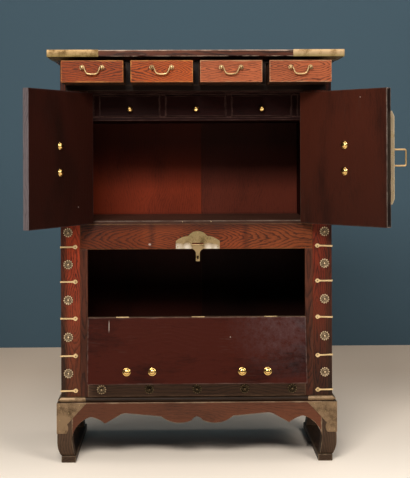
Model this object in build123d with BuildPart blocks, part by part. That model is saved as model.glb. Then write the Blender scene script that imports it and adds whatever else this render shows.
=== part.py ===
from build123d import *
import os
from collections import namedtuple

# A tall Korean chest on a low stand: four drawers under the top, a cupboard with two doors and three small
# drawers inside it, and a drop front below. Millimetres, +Z up, and the front faces -Y. The origin is on the
# floor under the middle of the case. The model is built as the chest stands open: drawers drawn out, both
# doors swung back and the drop front hanging.

# ---- The case and its boards
CASE_WIDTH = 813
CASE_DEPTH = 400
SIDE_THICK = 15
FRONT_THICK = 20  # stiles, strips, rails and the lower panel
BACK_THICK = 12
BACK_JOINT_X = 23  # where the two back boards meet
STILE_WIDTH = 43
STRIP_WIDTH = 22  # the jamb strip between a stile and an opening
FLOOR_THICK = 18
DECK_THICK = 20  # the board under the top drawers

# ---- Heights of the front, from the floor up
STAND_HEIGHT = 195
LOWER_PANEL_HEIGHT = 238
LOWER_OPENING = 203.5
MIDDLE_RAIL = 76.5
UPPER_OPENING = 399
DRAWER_RAIL = 16.5
DRAWER_OPENING = 65
TOP_RAIL = 9
SILL_STOP = 8  # how far the cupboard floor stands above the middle rail, as a stop for the doors

# ---- The top board
TOP_THICK = 28.5
TOP_SIDE_OVERHANG = 34.5
TOP_FRONT_OVERHANG = 36
TOP_EDGE = 19  # the upright part of its edge
CAVETTO_REACH = 29  # how far the hollow moulding runs in under the edge
CAVETTO_BEND = 0.4  # the part of that reach where the hollow bends down to the case
CAVETTO_BEND_RISE = 7.5  # how high above the case it is there
TOP_CAP_LENGTH = 155
TOP_CAP_SLANT = 7
SHEET = 1.2  # brass sheet over wood

# ---- The stand
STAND_OVERHANG = 7.5
STAND_FRAME_THICK = 15
STAND_FRAME_WIDTH = 62
STAND_ROUND = 7  # of the frame's edge, above and below
STAND_CAP_LENGTH = 84
LEG_PROUD = 4  # of the legs and aprons in front of the frame's edge
LEG_WIDTH = 44.5
LEG_STRAIGHT = 119  # from the frame down to where a leg starts to curve
LEG_WING = 101.5  # from the frame down to where the apron's wing ends
FOOT_OUT = 10.5  # how far the foot steps in from the leg's outer face
FOOT_IN = 51  # the foot's inner edge, from the same face
APRON_THICK = 18
BACK_APRON_HEIGHT = 45
RUNNER_HEIGHT = 20
RUNNER_WIDTH = 43
RUNNER_INSET = 12
RUNNER_LEDGE = 6  # how far the runner's end stands behind the leg's outer face

# ---- Drawers
DRAWER_COUNT = 4
DIVIDER_THICK = 20
DRAWER_SIDE_GAP = 0.4
DRAWER_REST_GAP = 0.3  # under a drawer's box, where it slides
DRAWER_FRONT_GAP = 1  # above and below a drawer's front
DRAWER_BACK_GAP = 1  # behind a drawer that is pushed in
DRAWER_FRONT_THICK = 14
DRAWER_WALL = 9
DRAWER_BOTTOM = 5
DRAWER_SIDE_DROP = 10  # how much lower a drawer's sides are than its front
DRAWER_OUT = 129  # how far the top drawers are drawn out
INNER_COUNT = 3
INNER_RECESS = 40  # of the small drawers behind the case's front
INNER_WALL = 6
INNER_TOP = 7.5
INNER_SHELF = 10.5
INNER_OPENING = 67
INNER_FILLER_WIDTH = 33  # of the fixed board at each end of the row of small drawers
INNER_DIVIDER = 19
INNER_FRONT_GAP = 2
KNOB_DROP = 9  # from the middle of a small drawer's front down to its knob
KNOB_RADIUS = 9.5
KNOB_NECK_RADIUS = 4
KNOB_STAND_OFF = 9

# ---- Doors, drop front and hinges
DOOR_GAP = 1  # at a door's hinge edge and free edge
DOOR_TOP_GAP = 7
DOOR_BOTTOM_GAP = 1.5
DOOR_THICK = 19
LEFT_DOOR_ANGLE = 118.5
RIGHT_DOOR_ANGLE = 131.5
DROP_GAP = 2  # at the ends and the hinge of the drop front
DROP_EDGE_GAP = 6.5  # above the drop front, when it is shut
DROP_THICK = 18
DROP_ANGLE = 168
HINGE_PROUD = 4  # how far a hinge's axis stands in front of the wood
HINGE_RADIUS = 3.2
HINGE_PIN_RADIUS = 1.5
HINGE_PIN_GAP = 0.1
HINGE_END_GAP = 0.3  # between one knuckle and the next
HINGE_LEAF_THICK = 1.5
HINGE_CLEAR = 4  # how far a leaf stays from the axis, where the other leaf's knuckle turns
DOOR_HINGE_LENGTH = 60
DOOR_HINGE_FROM_END = 75
DOOR_LEAF_WIDTH = 44
CASE_LEAF_WIDTH = 21
DROP_HINGE_LENGTH = 39
DROP_HINGE_FROM_END = 102.5
DROP_LEAF_WIDTH = 30
FLAP_STUD_RADIUS = 12
FLAP_STUD_HEIGHT = 7
DOOR_HANDLE_FROM_HINGE = 172
DOOR_HANDLE_DROP = 1.5  # below the door's middle
DROP_HANDLE_FROM_HINGE = 160.5
DROP_HANDLE_FROM_END = 154

# ---- Handles: a pair of posts and the bail that swings in them
Handle = namedtuple("Handle", "spacing reach inset wire stand_off head")
DRAWER_HANDLE = Handle(spacing=57, reach=20, inset=13, wire=5, stand_off=9, head=5.5)
FLAP_HANDLE = Handle(spacing=75.5, reach=22, inset=14, wire=5.5, stand_off=10, head=6)
ROSE_RADIUS = 7
ROSE_THICK = 1.5
POST_RADIUS = 2.6
BAIL_GAP = 0.3  # between a bail's wire and the hole that it turns in
BAIL_BEND = 5
BAIL_SHOULDER = 3  # from a post's head to where the bail's arm starts
DRAWER_HANDLE_RISE = 11  # from the middle of a drawer's front up to the handle's posts

# ---- Locks
DOOR_PLATE_LENGTH = 261
DOOR_PLATE_WIDTH = 50
DOOR_PLATE_TAPER = 8
DOOR_PLATE_THICK = 1.5
RIGHT_PLATE_OVERHANG = 11  # past the right door's free edge, over the left door
PLATE_GAP = 2  # between the two door plates when the doors are shut
LOCK_BAIL_FROM_EDGE = 20  # from the plate's outer edge to the lock bail's axis
LOCK_BAIL_HEIGHT = 45.4
LOCK_BAIL_REACH = 45
LOCK_BAIL_WIRE = 5
LOCK_BAIL_STAND_OFF = 5
LOCK_EYE_SPACING = 29
LOCK_EYE_WIDTH = 5
LOCK_EYE_RADIUS = 5.5
LOCK_BAIL_ANGLE = 131.5  # how far the right lock bail is swung out, from lying on its own door
LOCK_X = 4  # of the lock plate, the hasp, its staple and the middle hinge, to the right of the case's middle
HASP_AXIS_ABOVE_RAIL = 13
HASP_WIDTH = 30
HASP_TIP_WIDTH = 12
HASP_LENGTH = 49
HASP_THICK = 2
HASP_SLOT_WIDTH = 5
HASP_SLOT_HEIGHT = 10
HASP_STAND_OFF = 3
HASP_RADIUS = 2.4
HASP_PIN_RADIUS = 1.2
LOCK_PLATE_WIDTH = 132
LOCK_SHOULDER = 23  # height of the lock plate's ends
LOCK_NECK = 38  # height where its shoulders meet the lobe
LOCK_LOBE = 53
LOCK_LOBE_WIDTH = 57
LOCK_PLATE_LIFT = 1  # above the middle rail's lower edge
LOCK_SLOT_WIDTH = 34
LOCK_SLOT_HEIGHT = 4.5
LOCK_SLOT_RISE = 15.5  # above the plate's lower edge
STAPLE_PLATE_WIDTH = 40
STAPLE_PLATE_HEIGHT = 26
STAPLE_WIDTH = 2.6
STAPLE_HEIGHT = 7
STAPLE_REACH = 12
STAPLE_HOLE_RADIUS = 2
STAPLE_HOLE_FROM_TIP = 4

# ---- Corner straps and rosettes
STRAP_RISES = (18.5, 123, 235.5, 345, 449)  # of the straps up to the middle rail, above the stand
UPPER_STRAP_COUNT = 4  # beside the doors
UPPER_STRAP_PITCH = 107.5
UPPER_STRAP_RISE = 88  # from the last lower strap to the first upper one
STRAP_REACH = 44.5
STRAP_WIDTH = 5.5
STRAP_THICK = 2
STRAP_DISC_RADIUS = 6.75
ROSETTE_RADIUS = 15
ROSETTE_PETALS = 12
ROSETTE_THICK = 2.5
ROSETTE_DOME_RADIUS = 6.5
ROSETTE_DOME_HEIGHT = 5
ROSETTE_FROM_EDGE = 22
PANEL_ROSETTES = 5
PANEL_ROSETTE_FROM_END = 40.5
PANEL_ROSETTE_RISE = 22.5  # above the stand

# ---- Places that follow from the sizes above
HALF = CASE_WIDTH / 2
FRONT = -CASE_DEPTH / 2
BACK = CASE_DEPTH / 2
INSIDE = HALF - SIDE_THICK
STRIP_OUT = INSIDE - STILE_WIDTH
JAMB = STRIP_OUT - STRIP_WIDTH
BEHIND_FRONT = FRONT + FRONT_THICK
BACK_FACE = BACK - BACK_THICK

LOWER_Z = STAND_HEIGHT + LOWER_PANEL_HEIGHT
RAIL_Z = LOWER_Z + LOWER_OPENING
UPPER_Z = RAIL_Z + MIDDLE_RAIL
DECK_Z = UPPER_Z + UPPER_OPENING
DRAWER_Z = DECK_Z + DRAWER_RAIL
TOP_RAIL_Z = DRAWER_Z + DRAWER_OPENING
CASE_TOP = TOP_RAIL_Z + TOP_RAIL
HEIGHT = CASE_TOP + TOP_THICK
FLOOR_TOP = UPPER_Z + SILL_STOP
DECK_BOTTOM = DRAWER_Z - DECK_THICK

FRAME_Z = STAND_HEIGHT - STAND_FRAME_THICK
FRAME_HALF = HALF + STAND_OVERHANG
FRAME_FRONT = FRONT - STAND_OVERHANG
LEG_HALF = FRAME_HALF + LEG_PROUD
LEG_FRONT = FRAME_FRONT - LEG_PROUD

HINGE_Y = FRONT - HINGE_PROUD
SIDES = (-1, 1)

os.makedirs("parts", exist_ok=True)


def write(piece, name):
    """Labels a finished sub-part and writes it as one STEP file."""
    piece.label = name
    export_step(piece, f"parts/{name}.step")


def group(*pieces):
    """Pieces that touch but stay separate solids."""
    return Compound([solid for piece in pieces for solid in piece.solids()])


def turn(plane, angle):
    """A plane turned about its own z."""
    return Plane(origin=plane.origin, x_dir=plane.x_dir.rotate(Axis((0, 0, 0), plane.z_dir), angle),
                 z_dir=plane.z_dir)


def moved(plane, x, y, z):
    """A plane moved by distances along its own axes."""
    return Plane(origin=plane.from_local_coords((x, y, z)), x_dir=plane.x_dir, z_dir=plane.z_dir)


def board(corner, opposite):
    """A straight board between two opposite corners, added to the part being built."""
    size = [abs(b - a) for a, b in zip(corner, opposite)]
    middle = [(a + b) / 2 for a, b in zip(corner, opposite)]
    with Locations(tuple(middle)):
        Box(*size)


# ================================================================ case
for name, side in (("left", -1), ("right", 1)):
    with BuildPart() as side_panel:
        board((side * HALF, FRONT, STAND_HEIGHT), (side * INSIDE, BACK, CASE_TOP))
    write(side_panel.part, f"side_panel_{name}")

    with BuildPart() as stile:
        board((side * INSIDE, FRONT, STAND_HEIGHT), (side * STRIP_OUT, BEHIND_FRONT, DECK_Z))
    with BuildPart() as strips:
        for low, high in ((STAND_HEIGHT, RAIL_Z), (UPPER_Z, DECK_Z)):
            board((side * STRIP_OUT, FRONT, low), (side * JAMB, BEHIND_FRONT, high))
    write(group(stile.part, strips.part), f"stile_{name}")

back_boards = []
for low_x, high_x in ((-INSIDE, BACK_JOINT_X), (BACK_JOINT_X, INSIDE)):
    with BuildPart() as back_board:
        board((low_x, BACK_FACE, STAND_HEIGHT), (high_x, BACK, CASE_TOP))
    back_boards.append(back_board.part)
write(group(*back_boards), "back_panel")

with BuildPart() as bottom_board:
    board((-INSIDE, BEHIND_FRONT, STAND_HEIGHT), (INSIDE, BACK_FACE, STAND_HEIGHT + FLOOR_THICK))
write(bottom_board.part, "bottom_board")

with BuildPart() as lower_panel:
    board((-JAMB, FRONT, STAND_HEIGHT), (JAMB, BEHIND_FRONT, LOWER_Z))
write(lower_panel.part, "lower_panel")

with BuildPart() as middle_rail:
    board((-STRIP_OUT, FRONT, RAIL_Z), (STRIP_OUT, BEHIND_FRONT, UPPER_Z))
write(middle_rail.part, "middle_rail")

with BuildPart() as cupboard_floor:
    board((-INSIDE, BEHIND_FRONT, FLOOR_TOP - FLOOR_THICK), (INSIDE, BACK_FACE, FLOOR_TOP))
write(cupboard_floor.part, "cupboard_floor")

with BuildPart() as drawer_deck:
    board((-INSIDE, BEHIND_FRONT, DECK_BOTTOM), (INSIDE, BACK_FACE, DRAWER_Z))
write(drawer_deck.part, "drawer_deck")

# The frame round the top drawers: a rail below, a rail above, and dividers that rise behind the upper rail.
DRAWER_BAY = (2 * INSIDE - (DRAWER_COUNT - 1) * DIVIDER_THICK) / DRAWER_COUNT
DRAWER_PITCH = DRAWER_BAY + DIVIDER_THICK
with BuildPart() as drawer_rails:
    board((-INSIDE, FRONT, DECK_Z), (INSIDE, BEHIND_FRONT, DRAWER_Z))
    board((-INSIDE, FRONT, TOP_RAIL_Z), (INSIDE, BEHIND_FRONT, CASE_TOP))
with BuildPart() as dividers:
    with BuildSketch(Plane.YZ) as divider_side:
        with BuildLine():
            Polyline((FRONT, DRAWER_Z), (BACK_FACE, DRAWER_Z), (BACK_FACE, CASE_TOP),
                     (BEHIND_FRONT, CASE_TOP), (BEHIND_FRONT, TOP_RAIL_Z), (FRONT, TOP_RAIL_Z), close=True)
        make_face()
    for i in range(1, DRAWER_COUNT):
        with Locations((-INSIDE + i * DRAWER_PITCH - DIVIDER_THICK, 0, 0)):
            add(extrude(divider_side.sketch, amount=DIVIDER_THICK, mode=Mode.PRIVATE))
write(group(drawer_rails.part, dividers.part), "drawer_frame")


# ================================================================ cabinet for the small drawers
INNER_FRONT = FRONT + INNER_RECESS
INNER_TOP_Z = DECK_BOTTOM - INNER_TOP
INNER_SHELF_TOP = INNER_TOP_Z - INNER_OPENING
INNER_HALF = STRIP_OUT - INNER_WALL
INNER_FILLER = INNER_HALF - INNER_FILLER_WIDTH
INNER_PITCH = (2 * INNER_FILLER - INNER_DIVIDER) / INNER_COUNT

with BuildPart() as inner_walls:
    for side in SIDES:
        board((side * STRIP_OUT, BEHIND_FRONT, FLOOR_TOP), (side * INNER_HALF, BACK_FACE, DECK_BOTTOM))
with BuildPart() as inner_boards:
    for low, high in ((INNER_TOP_Z, DECK_BOTTOM), (INNER_SHELF_TOP - INNER_SHELF, INNER_SHELF_TOP)):
        board((-INNER_HALF, INNER_FRONT, low), (INNER_HALF, BACK_FACE, high))
with BuildPart() as inner_dividers:
    for i in range(INNER_COUNT + 1):
        left = (i - INNER_COUNT / 2) * INNER_PITCH - INNER_DIVIDER / 2
        board((left, INNER_FRONT, INNER_SHELF_TOP), (left + INNER_DIVIDER, BACK_FACE, INNER_TOP_Z))
with BuildPart() as inner_fillers:
    for side in SIDES:
        board((side * INNER_FILLER, INNER_FRONT, INNER_SHELF_TOP),
              (side * INNER_HALF, INNER_FRONT + FRONT_THICK, INNER_TOP_Z))
write(group(inner_walls.part, inner_boards.part, inner_dividers.part, inner_fillers.part), "inner_cabinet")


# ================================================================ top board and its corner caps
def moulded_top(grow):
    """The top board, hollowed under its front and side edges, or that shape grown by a sheet's thickness."""
    half_width = HALF + TOP_SIDE_OVERHANG
    front = FRONT - TOP_FRONT_OVERHANG
    hollow = CASE_TOP + TOP_THICK - TOP_EDGE
    bend, bend_z = CAVETTO_REACH * CAVETTO_BEND, CASE_TOP + CAVETTO_BEND_RISE
    with BuildPart() as slab:
        with BuildSketch(Plane.XZ):
            with BuildLine():
                for side in SIDES:
                    outer, inner = side * half_width, side * (half_width - CAVETTO_REACH)
                    Line((outer, HEIGHT), (outer, hollow))
                    ThreePointArc((outer, hollow), (side * (half_width - bend), bend_z), (inner, CASE_TOP))
                Line((-half_width, HEIGHT), (half_width, HEIGHT))
                Line((CAVETTO_REACH - half_width, CASE_TOP), (half_width - CAVETTO_REACH, CASE_TOP))
            make_face()
            if grow:
                offset(amount=grow, kind=Kind.INTERSECTION)
        extrude(amount=CASE_DEPTH, both=True)
        with BuildSketch(Plane.YZ):
            with BuildLine():
                Line((BACK, HEIGHT), (front, HEIGHT))
                Line((front, HEIGHT), (front, hollow))
                ThreePointArc((front, hollow), (front + bend, bend_z), (front + CAVETTO_REACH, CASE_TOP))
                Line((front + CAVETTO_REACH, CASE_TOP), (BACK, CASE_TOP))
                Line((BACK, CASE_TOP), (BACK, HEIGHT))
            make_face()
            if grow:
                offset(amount=grow, kind=Kind.INTERSECTION)
        extrude(amount=CASE_WIDTH, both=True, mode=Mode.INTERSECT)
    return slab.part


def corner_band(side, half_width, front, length, slant, band):
    """The plan of the L-shaped band that wraps one front corner."""
    corner = side * half_width
    Polyline((corner + side * band, front - band),
             (corner - side * length, front - band),
             (corner - side * (length - slant), front + band),
             (corner - side * band, front + band),
             (corner - side * band, front + length - slant),
             (corner + side * band, front + length),
             close=True)


top_board = moulded_top(0)
write(top_board, "top_board")

with BuildPart() as top_corner_caps:
    add(moulded_top(SHEET))
    add(top_board, mode=Mode.SUBTRACT)
    with BuildSketch(Plane.XY.offset(CASE_TOP)):
        for side in SIDES:
            with BuildLine():
                corner_band(side, HALF + TOP_SIDE_OVERHANG, FRONT - TOP_FRONT_OVERHANG, TOP_CAP_LENGTH,
                            TOP_CAP_SLANT, CAVETTO_REACH - SHEET)
            make_face()
    extrude(amount=TOP_THICK + 2 * SHEET, mode=Mode.INTERSECT)
write(top_corner_caps.part, "top_corner_caps")


# ================================================================ stand
def rounded_frame(grow):
    """The stand's frame from outside, its edge rounded, or that shape grown by a sheet's thickness."""
    shoulder, foot = STAND_HEIGHT - STAND_ROUND, FRAME_Z + STAND_ROUND
    with BuildPart() as slab:
        with BuildSketch(Plane.XZ):
            with BuildLine():
                for side in SIDES:
                    outer, inner = side * FRAME_HALF, side * (FRAME_HALF - STAND_ROUND)
                    RadiusArc((inner, FRAME_Z), (outer, foot), side * STAND_ROUND)
                    Line((outer, foot), (outer, shoulder))
                    RadiusArc((outer, shoulder), (inner, STAND_HEIGHT), side * STAND_ROUND)
                for z in (FRAME_Z, STAND_HEIGHT):
                    Line((STAND_ROUND - FRAME_HALF, z), (FRAME_HALF - STAND_ROUND, z))
            make_face()
            if grow:
                offset(amount=grow, kind=Kind.INTERSECTION)
        extrude(amount=CASE_DEPTH, both=True)
        with BuildSketch(Plane.YZ):
            with BuildLine():
                RadiusArc((FRAME_FRONT + STAND_ROUND, FRAME_Z), (FRAME_FRONT, foot), STAND_ROUND)
                Line((FRAME_FRONT, foot), (FRAME_FRONT, shoulder))
                RadiusArc((FRAME_FRONT, shoulder), (FRAME_FRONT + STAND_ROUND, STAND_HEIGHT), STAND_ROUND)
                Line((FRAME_FRONT + STAND_ROUND, STAND_HEIGHT), (BACK, STAND_HEIGHT))
                Line((BACK, STAND_HEIGHT), (BACK, FRAME_Z))
                Line((BACK, FRAME_Z), (FRAME_FRONT + STAND_ROUND, FRAME_Z))
            make_face()
            if grow:
                offset(amount=grow, kind=Kind.INTERSECTION)
        extrude(amount=CASE_WIDTH, both=True, mode=Mode.INTERSECT)
    return slab.part


frame_outer = ((-FRAME_HALF, FRAME_FRONT), (FRAME_HALF, FRAME_FRONT), (FRAME_HALF, BACK), (-FRAME_HALF, BACK))
frame_inner = ((STAND_FRAME_WIDTH - FRAME_HALF, FRAME_FRONT + STAND_FRAME_WIDTH),
               (FRAME_HALF - STAND_FRAME_WIDTH, FRAME_FRONT + STAND_FRAME_WIDTH),
               (FRAME_HALF - STAND_FRAME_WIDTH, BACK - STAND_FRAME_WIDTH),
               (STAND_FRAME_WIDTH - FRAME_HALF, BACK - STAND_FRAME_WIDTH))
frame_members = []
for i in range(len(frame_outer)):
    j = (i + 1) % len(frame_outer)
    with BuildPart() as frame_member:
        add(rounded_frame(0))
        with BuildSketch(Plane.XY.offset(FRAME_Z)):
            with BuildLine():
                Polyline(frame_outer[i], frame_outer[j], frame_inner[j], frame_inner[i], close=True)
            make_face()
        extrude(amount=STAND_FRAME_THICK, mode=Mode.INTERSECT)
    frame_members.append(frame_member.part)
write(group(*frame_members), "stand_frame")

with BuildPart() as stand_caps:
    add(rounded_frame(SHEET))
    add(rounded_frame(0), mode=Mode.SUBTRACT)
    with BuildSketch(Plane.XY.offset(FRAME_Z)):
        for side in SIDES:
            with BuildLine():
                corner_band(side, FRAME_HALF, FRAME_FRONT, STAND_CAP_LENGTH, TOP_CAP_SLANT,
                            STAND_OVERHANG - SHEET)
            make_face()
    extrude(amount=STAND_FRAME_THICK + 2 * SHEET, mode=Mode.INTERSECT)


def leg_outline(edge, inward):
    """A leg as seen from one side: edge is its outer face and inward points to the chest's middle."""
    foot = RUNNER_HEIGHT
    straight = FRAME_Z - LEG_STRAIGHT
    wing = FRAME_Z - LEG_WING
    outer_foot, inner_foot = edge + inward * FOOT_OUT, edge + inward * FOOT_IN
    inner = edge + inward * LEG_WIDTH
    Line((edge, FRAME_Z), (edge, straight))
    ThreePointArc((edge, straight), (edge + inward * FOOT_OUT * 0.27, (straight + foot) / 2),
                  (outer_foot, foot))
    Line((outer_foot, foot), (inner_foot, foot))
    ThreePointArc((inner_foot, foot), (inner + inward * (FOOT_IN - LEG_WIDTH) * 0.3, (wing + foot) / 2),
                  (inner, wing))
    Line((inner, wing), (inner, FRAME_Z))
    Line((inner, FRAME_Z), (edge, FRAME_Z))


with BuildPart() as legs:
    with BuildSketch(Plane.XZ):
        for side in SIDES:
            with BuildLine():
                leg_outline(side * LEG_HALF, -side)
            make_face()
    extrude(amount=CASE_DEPTH, both=True)
    with BuildSketch(Plane.YZ):
        for edge, inward in ((LEG_FRONT, 1), (BACK, -1)):
            with BuildLine():
                leg_outline(edge, inward)
            make_face()
    extrude(amount=CASE_WIDTH, both=True, mode=Mode.INTERSECT)
write(legs.part, "legs")

with BuildPart() as runners:
    for side in SIDES:
        outer = LEG_HALF - RUNNER_INSET
        inner = outer - RUNNER_WIDTH
        board((side * outer, LEG_FRONT + RUNNER_LEDGE, 0), (side * inner, BACK, RUNNER_HEIGHT))
write(runners.part, "runners")

# An apron's lower edge, as (distance from the leg or from the middle, depth below the frame).
WING_TOP = (56, 42.6)
WING_CURVE = (18, 66)
WING_EAR = (80, 50.5)
WING_CUSP = (98, 62.5)
RISE_END = (145, 36)
RISE_CREST = (153, 33.3)
RISE_OVER = (163, 32.4)
LOBE_START = (108, 42)
LOBE_LOW = (50, 62.3)
LOBE_END = (16, 54)
NOTCH_MIDDLE = (7, 45)
NOTCH_TOP = (0, 42.6)


def apron_half(end, inward, lobed):
    """Half of an apron's lower edge, from the leg at end to the middle, with or without a middle lobe."""
    def from_leg(point):
        return end + inward * point[0], FRAME_Z - point[1]

    def from_middle(point):
        return -inward * point[0], FRAME_Z - point[1]

    ThreePointArc((end, FRAME_Z - LEG_WING), from_leg(WING_CURVE), from_leg(WING_TOP))
    ThreePointArc(from_leg(WING_TOP), from_leg(WING_EAR), from_leg(WING_CUSP))
    Line(from_leg(WING_CUSP), from_leg(RISE_END))
    if lobed:
        ThreePointArc(from_leg(RISE_END), from_leg(RISE_CREST), from_leg(RISE_OVER))
        Line(from_leg(RISE_OVER), from_middle(LOBE_START))
        ThreePointArc(from_middle(LOBE_START), from_middle(LOBE_LOW), from_middle(LOBE_END))
        ThreePointArc(from_middle(LOBE_END), from_middle(NOTCH_MIDDLE), from_middle(NOTCH_TOP))
    else:
        Line(from_leg(RISE_END), (0, FRAME_Z - RISE_END[1]))


APRON_HALF = LEG_HALF - LEG_WIDTH
SIDE_APRON_HALF = (BACK - LEG_FRONT) / 2 - LEG_WIDTH
with BuildPart() as front_apron:
    with BuildSketch(Plane.XZ.offset(-LEG_FRONT)):
        with BuildLine():
            for side in SIDES:
                apron_half(side * APRON_HALF, -side, lobed=True)
                Line((side * APRON_HALF, FRAME_Z - LEG_WING), (side * APRON_HALF, FRAME_Z))
            Line((-APRON_HALF, FRAME_Z), (APRON_HALF, FRAME_Z))
        make_face()
    extrude(amount=-APRON_THICK)
with BuildPart() as side_aprons:
    for side in SIDES:
        side_face = (side * LEG_HALF, (BACK + LEG_FRONT) / 2, 0)
        with BuildSketch(Plane(origin=side_face, x_dir=(0, 1, 0), z_dir=(1, 0, 0))):
            with BuildLine():
                for end in SIDES:
                    apron_half(end * SIDE_APRON_HALF, -end, lobed=False)
                    Line((end * SIDE_APRON_HALF, FRAME_Z - LEG_WING), (end * SIDE_APRON_HALF, FRAME_Z))
                Line((-SIDE_APRON_HALF, FRAME_Z), (SIDE_APRON_HALF, FRAME_Z))
            make_face()
        extrude(amount=-side * APRON_THICK)
with BuildPart() as back_apron:
    board((-APRON_HALF, BACK - APRON_THICK, FRAME_Z - BACK_APRON_HEIGHT), (APRON_HALF, BACK, FRAME_Z))
write(group(front_apron.part, side_aprons.part, back_apron.part), "aprons")

# A leg's brass plate, as (distance from the corner, depth below the frame).
PLATE_TIP = (88.5, 1)
PLATE_CURVE = (55, 36)
PLATE_WAIST = (30, 64)
PLATE_LOBE = (33, 76)
PLATE_FOOT = (27.5, 91.4)


def leg_plate_outline(edge, inward, reach):
    """A leg plate's outline as seen from one side; reach carries it past the corner to wrap the sheet."""
    def at(point):
        return edge + inward * point[0], FRAME_Z - point[1]

    corner = edge - inward * reach
    Line((corner, FRAME_Z - PLATE_TIP[1]), at(PLATE_TIP))
    ThreePointArc(at(PLATE_TIP), at(PLATE_CURVE), at(PLATE_WAIST))
    ThreePointArc(at(PLATE_WAIST), at(PLATE_LOBE), at(PLATE_FOOT))
    Line(at(PLATE_FOOT), (corner, FRAME_Z - PLATE_FOOT[1]))
    Line((corner, FRAME_Z - PLATE_FOOT[1]), (corner, FRAME_Z - PLATE_TIP[1]))


with BuildPart() as leg_plates:
    with BuildSketch(Plane.XZ.offset(-LEG_FRONT)):
        for side in SIDES:
            with BuildLine():
                leg_plate_outline(side * LEG_HALF, -side, SHEET)
            make_face()
    extrude(amount=SHEET)
    for side in SIDES:
        with BuildSketch(Plane.YZ.offset(side * LEG_HALF)):
            with BuildLine():
                leg_plate_outline(LEG_FRONT, 1, SHEET)
            make_face()
        extrude(amount=side * SHEET)
write(group(stand_caps.part, leg_plates.part), "stand_brasses")


# ================================================================ corner straps and rosettes
LOWER_STRAPS = [STAND_HEIGHT + rise for rise in STRAP_RISES]
UPPER_STRAPS = [LOWER_STRAPS[-1] + UPPER_STRAP_RISE + i * UPPER_STRAP_PITCH for i in range(UPPER_STRAP_COUNT)]
STRAPS = LOWER_STRAPS + UPPER_STRAPS

with BuildPart() as corner_straps:
    for side in SIDES:
        edge = side * HALF
        outer, end = edge + side * STRAP_THICK, edge - side * STRAP_REACH
        for z in STRAPS:
            low, high = z - STRAP_WIDTH / 2, z + STRAP_WIDTH / 2
            board((outer, FRONT - STRAP_THICK, low), (end, FRONT, high))
            board((outer, FRONT, low), (edge, FRONT + STRAP_REACH, high))
            with Locations((end, FRONT - STRAP_THICK / 2, z)):
                Cylinder(STRAP_DISC_RADIUS, STRAP_THICK, rotation=(90, 0, 0))
            with Locations((edge + side * STRAP_THICK / 2, FRONT + STRAP_REACH, z)):
                Cylinder(STRAP_DISC_RADIUS, STRAP_THICK, rotation=(0, 90, 0))
write(corner_straps.part, "corner_straps")

rosette_places = [(side * (HALF - ROSETTE_FROM_EDGE), (low + high) / 2)
                  for side in SIDES for low, high in zip(STRAPS, STRAPS[1:])]
panel_rosette_pitch = 2 * (JAMB - PANEL_ROSETTE_FROM_END) / (PANEL_ROSETTES - 1)
rosette_places += [((i - (PANEL_ROSETTES - 1) / 2) * panel_rosette_pitch, STAND_HEIGHT + PANEL_ROSETTE_RISE)
                   for i in range(PANEL_ROSETTES)]
PETAL_RADIUS = 4
with BuildPart() as rosettes:
    with BuildSketch(Plane.XZ.offset(-FRONT)):
        with Locations(*rosette_places):
            Circle(ROSETTE_RADIUS - PETAL_RADIUS)
            with PolarLocations(ROSETTE_RADIUS - PETAL_RADIUS, ROSETTE_PETALS):
                Circle(PETAL_RADIUS)
    extrude(amount=ROSETTE_THICK)
    with BuildSketch(Plane.XZ.offset(-FRONT)):
        with Locations(*rosette_places):
            Circle(ROSETTE_DOME_RADIUS)
    extrude(amount=ROSETTE_THICK + ROSETTE_DOME_HEIGHT, taper=25)
write(rosettes.part, "rosettes")


# ================================================================ handles
# A handle's plane has its origin on the wood between the posts, x along the bail, y into the wood and z along
# the pair of posts.
def handle_posts(plane, handle):
    """The two posts, each with a rose on the wood and a round head bored for the bail."""
    with BuildPart(plane) as pair:
        for z in (-handle.spacing / 2, handle.spacing / 2):
            with Locations((0, -ROSE_THICK / 2, z)):
                Cylinder(ROSE_RADIUS, ROSE_THICK, rotation=(90, 0, 0))
            with Locations((0, -handle.stand_off / 2, z)):
                Cylinder(POST_RADIUS, handle.stand_off, rotation=(90, 0, 0))
            with Locations((0, -handle.stand_off, z)):
                Sphere(handle.head)
                Cylinder(handle.wire / 2 + BAIL_GAP, 3 * handle.head, mode=Mode.SUBTRACT)
    return pair.part


def facing_out(plane):
    """A handle's or flap's plane, seen from in front of the wood: x stays, and y is what z was."""
    return Plane(origin=plane.origin, x_dir=plane.x_dir, z_dir=plane.y_dir * -1)


def bent_wire(plane, points, wire):
    """A wire along (reach, along) points in the handle plane's x and z."""
    with BuildPart() as rod:
        with BuildLine(facing_out(plane)) as route:
            FilletPolyline(*points, radius=BAIL_BEND)
        with BuildSketch(Plane(origin=route.line @ 0, z_dir=route.line % 0)):
            Circle(wire / 2)
        sweep()
    return rod.part


def handle_bail(plane, handle, turned=0):
    """The bail: its ends turn in the posts' heads and its arms run in to a flat grip."""
    end = handle.spacing / 2 + handle.head - 1
    shoulder = handle.spacing / 2 - handle.head - BAIL_SHOULDER
    grip = handle.spacing / 2 - handle.inset
    points = [(0, -end), (0, -shoulder), (handle.reach, -grip), (handle.reach, grip), (0, shoulder), (0, end)]
    return bent_wire(turn(moved(plane, 0, -handle.stand_off, 0), -turned), points, handle.wire)


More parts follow.
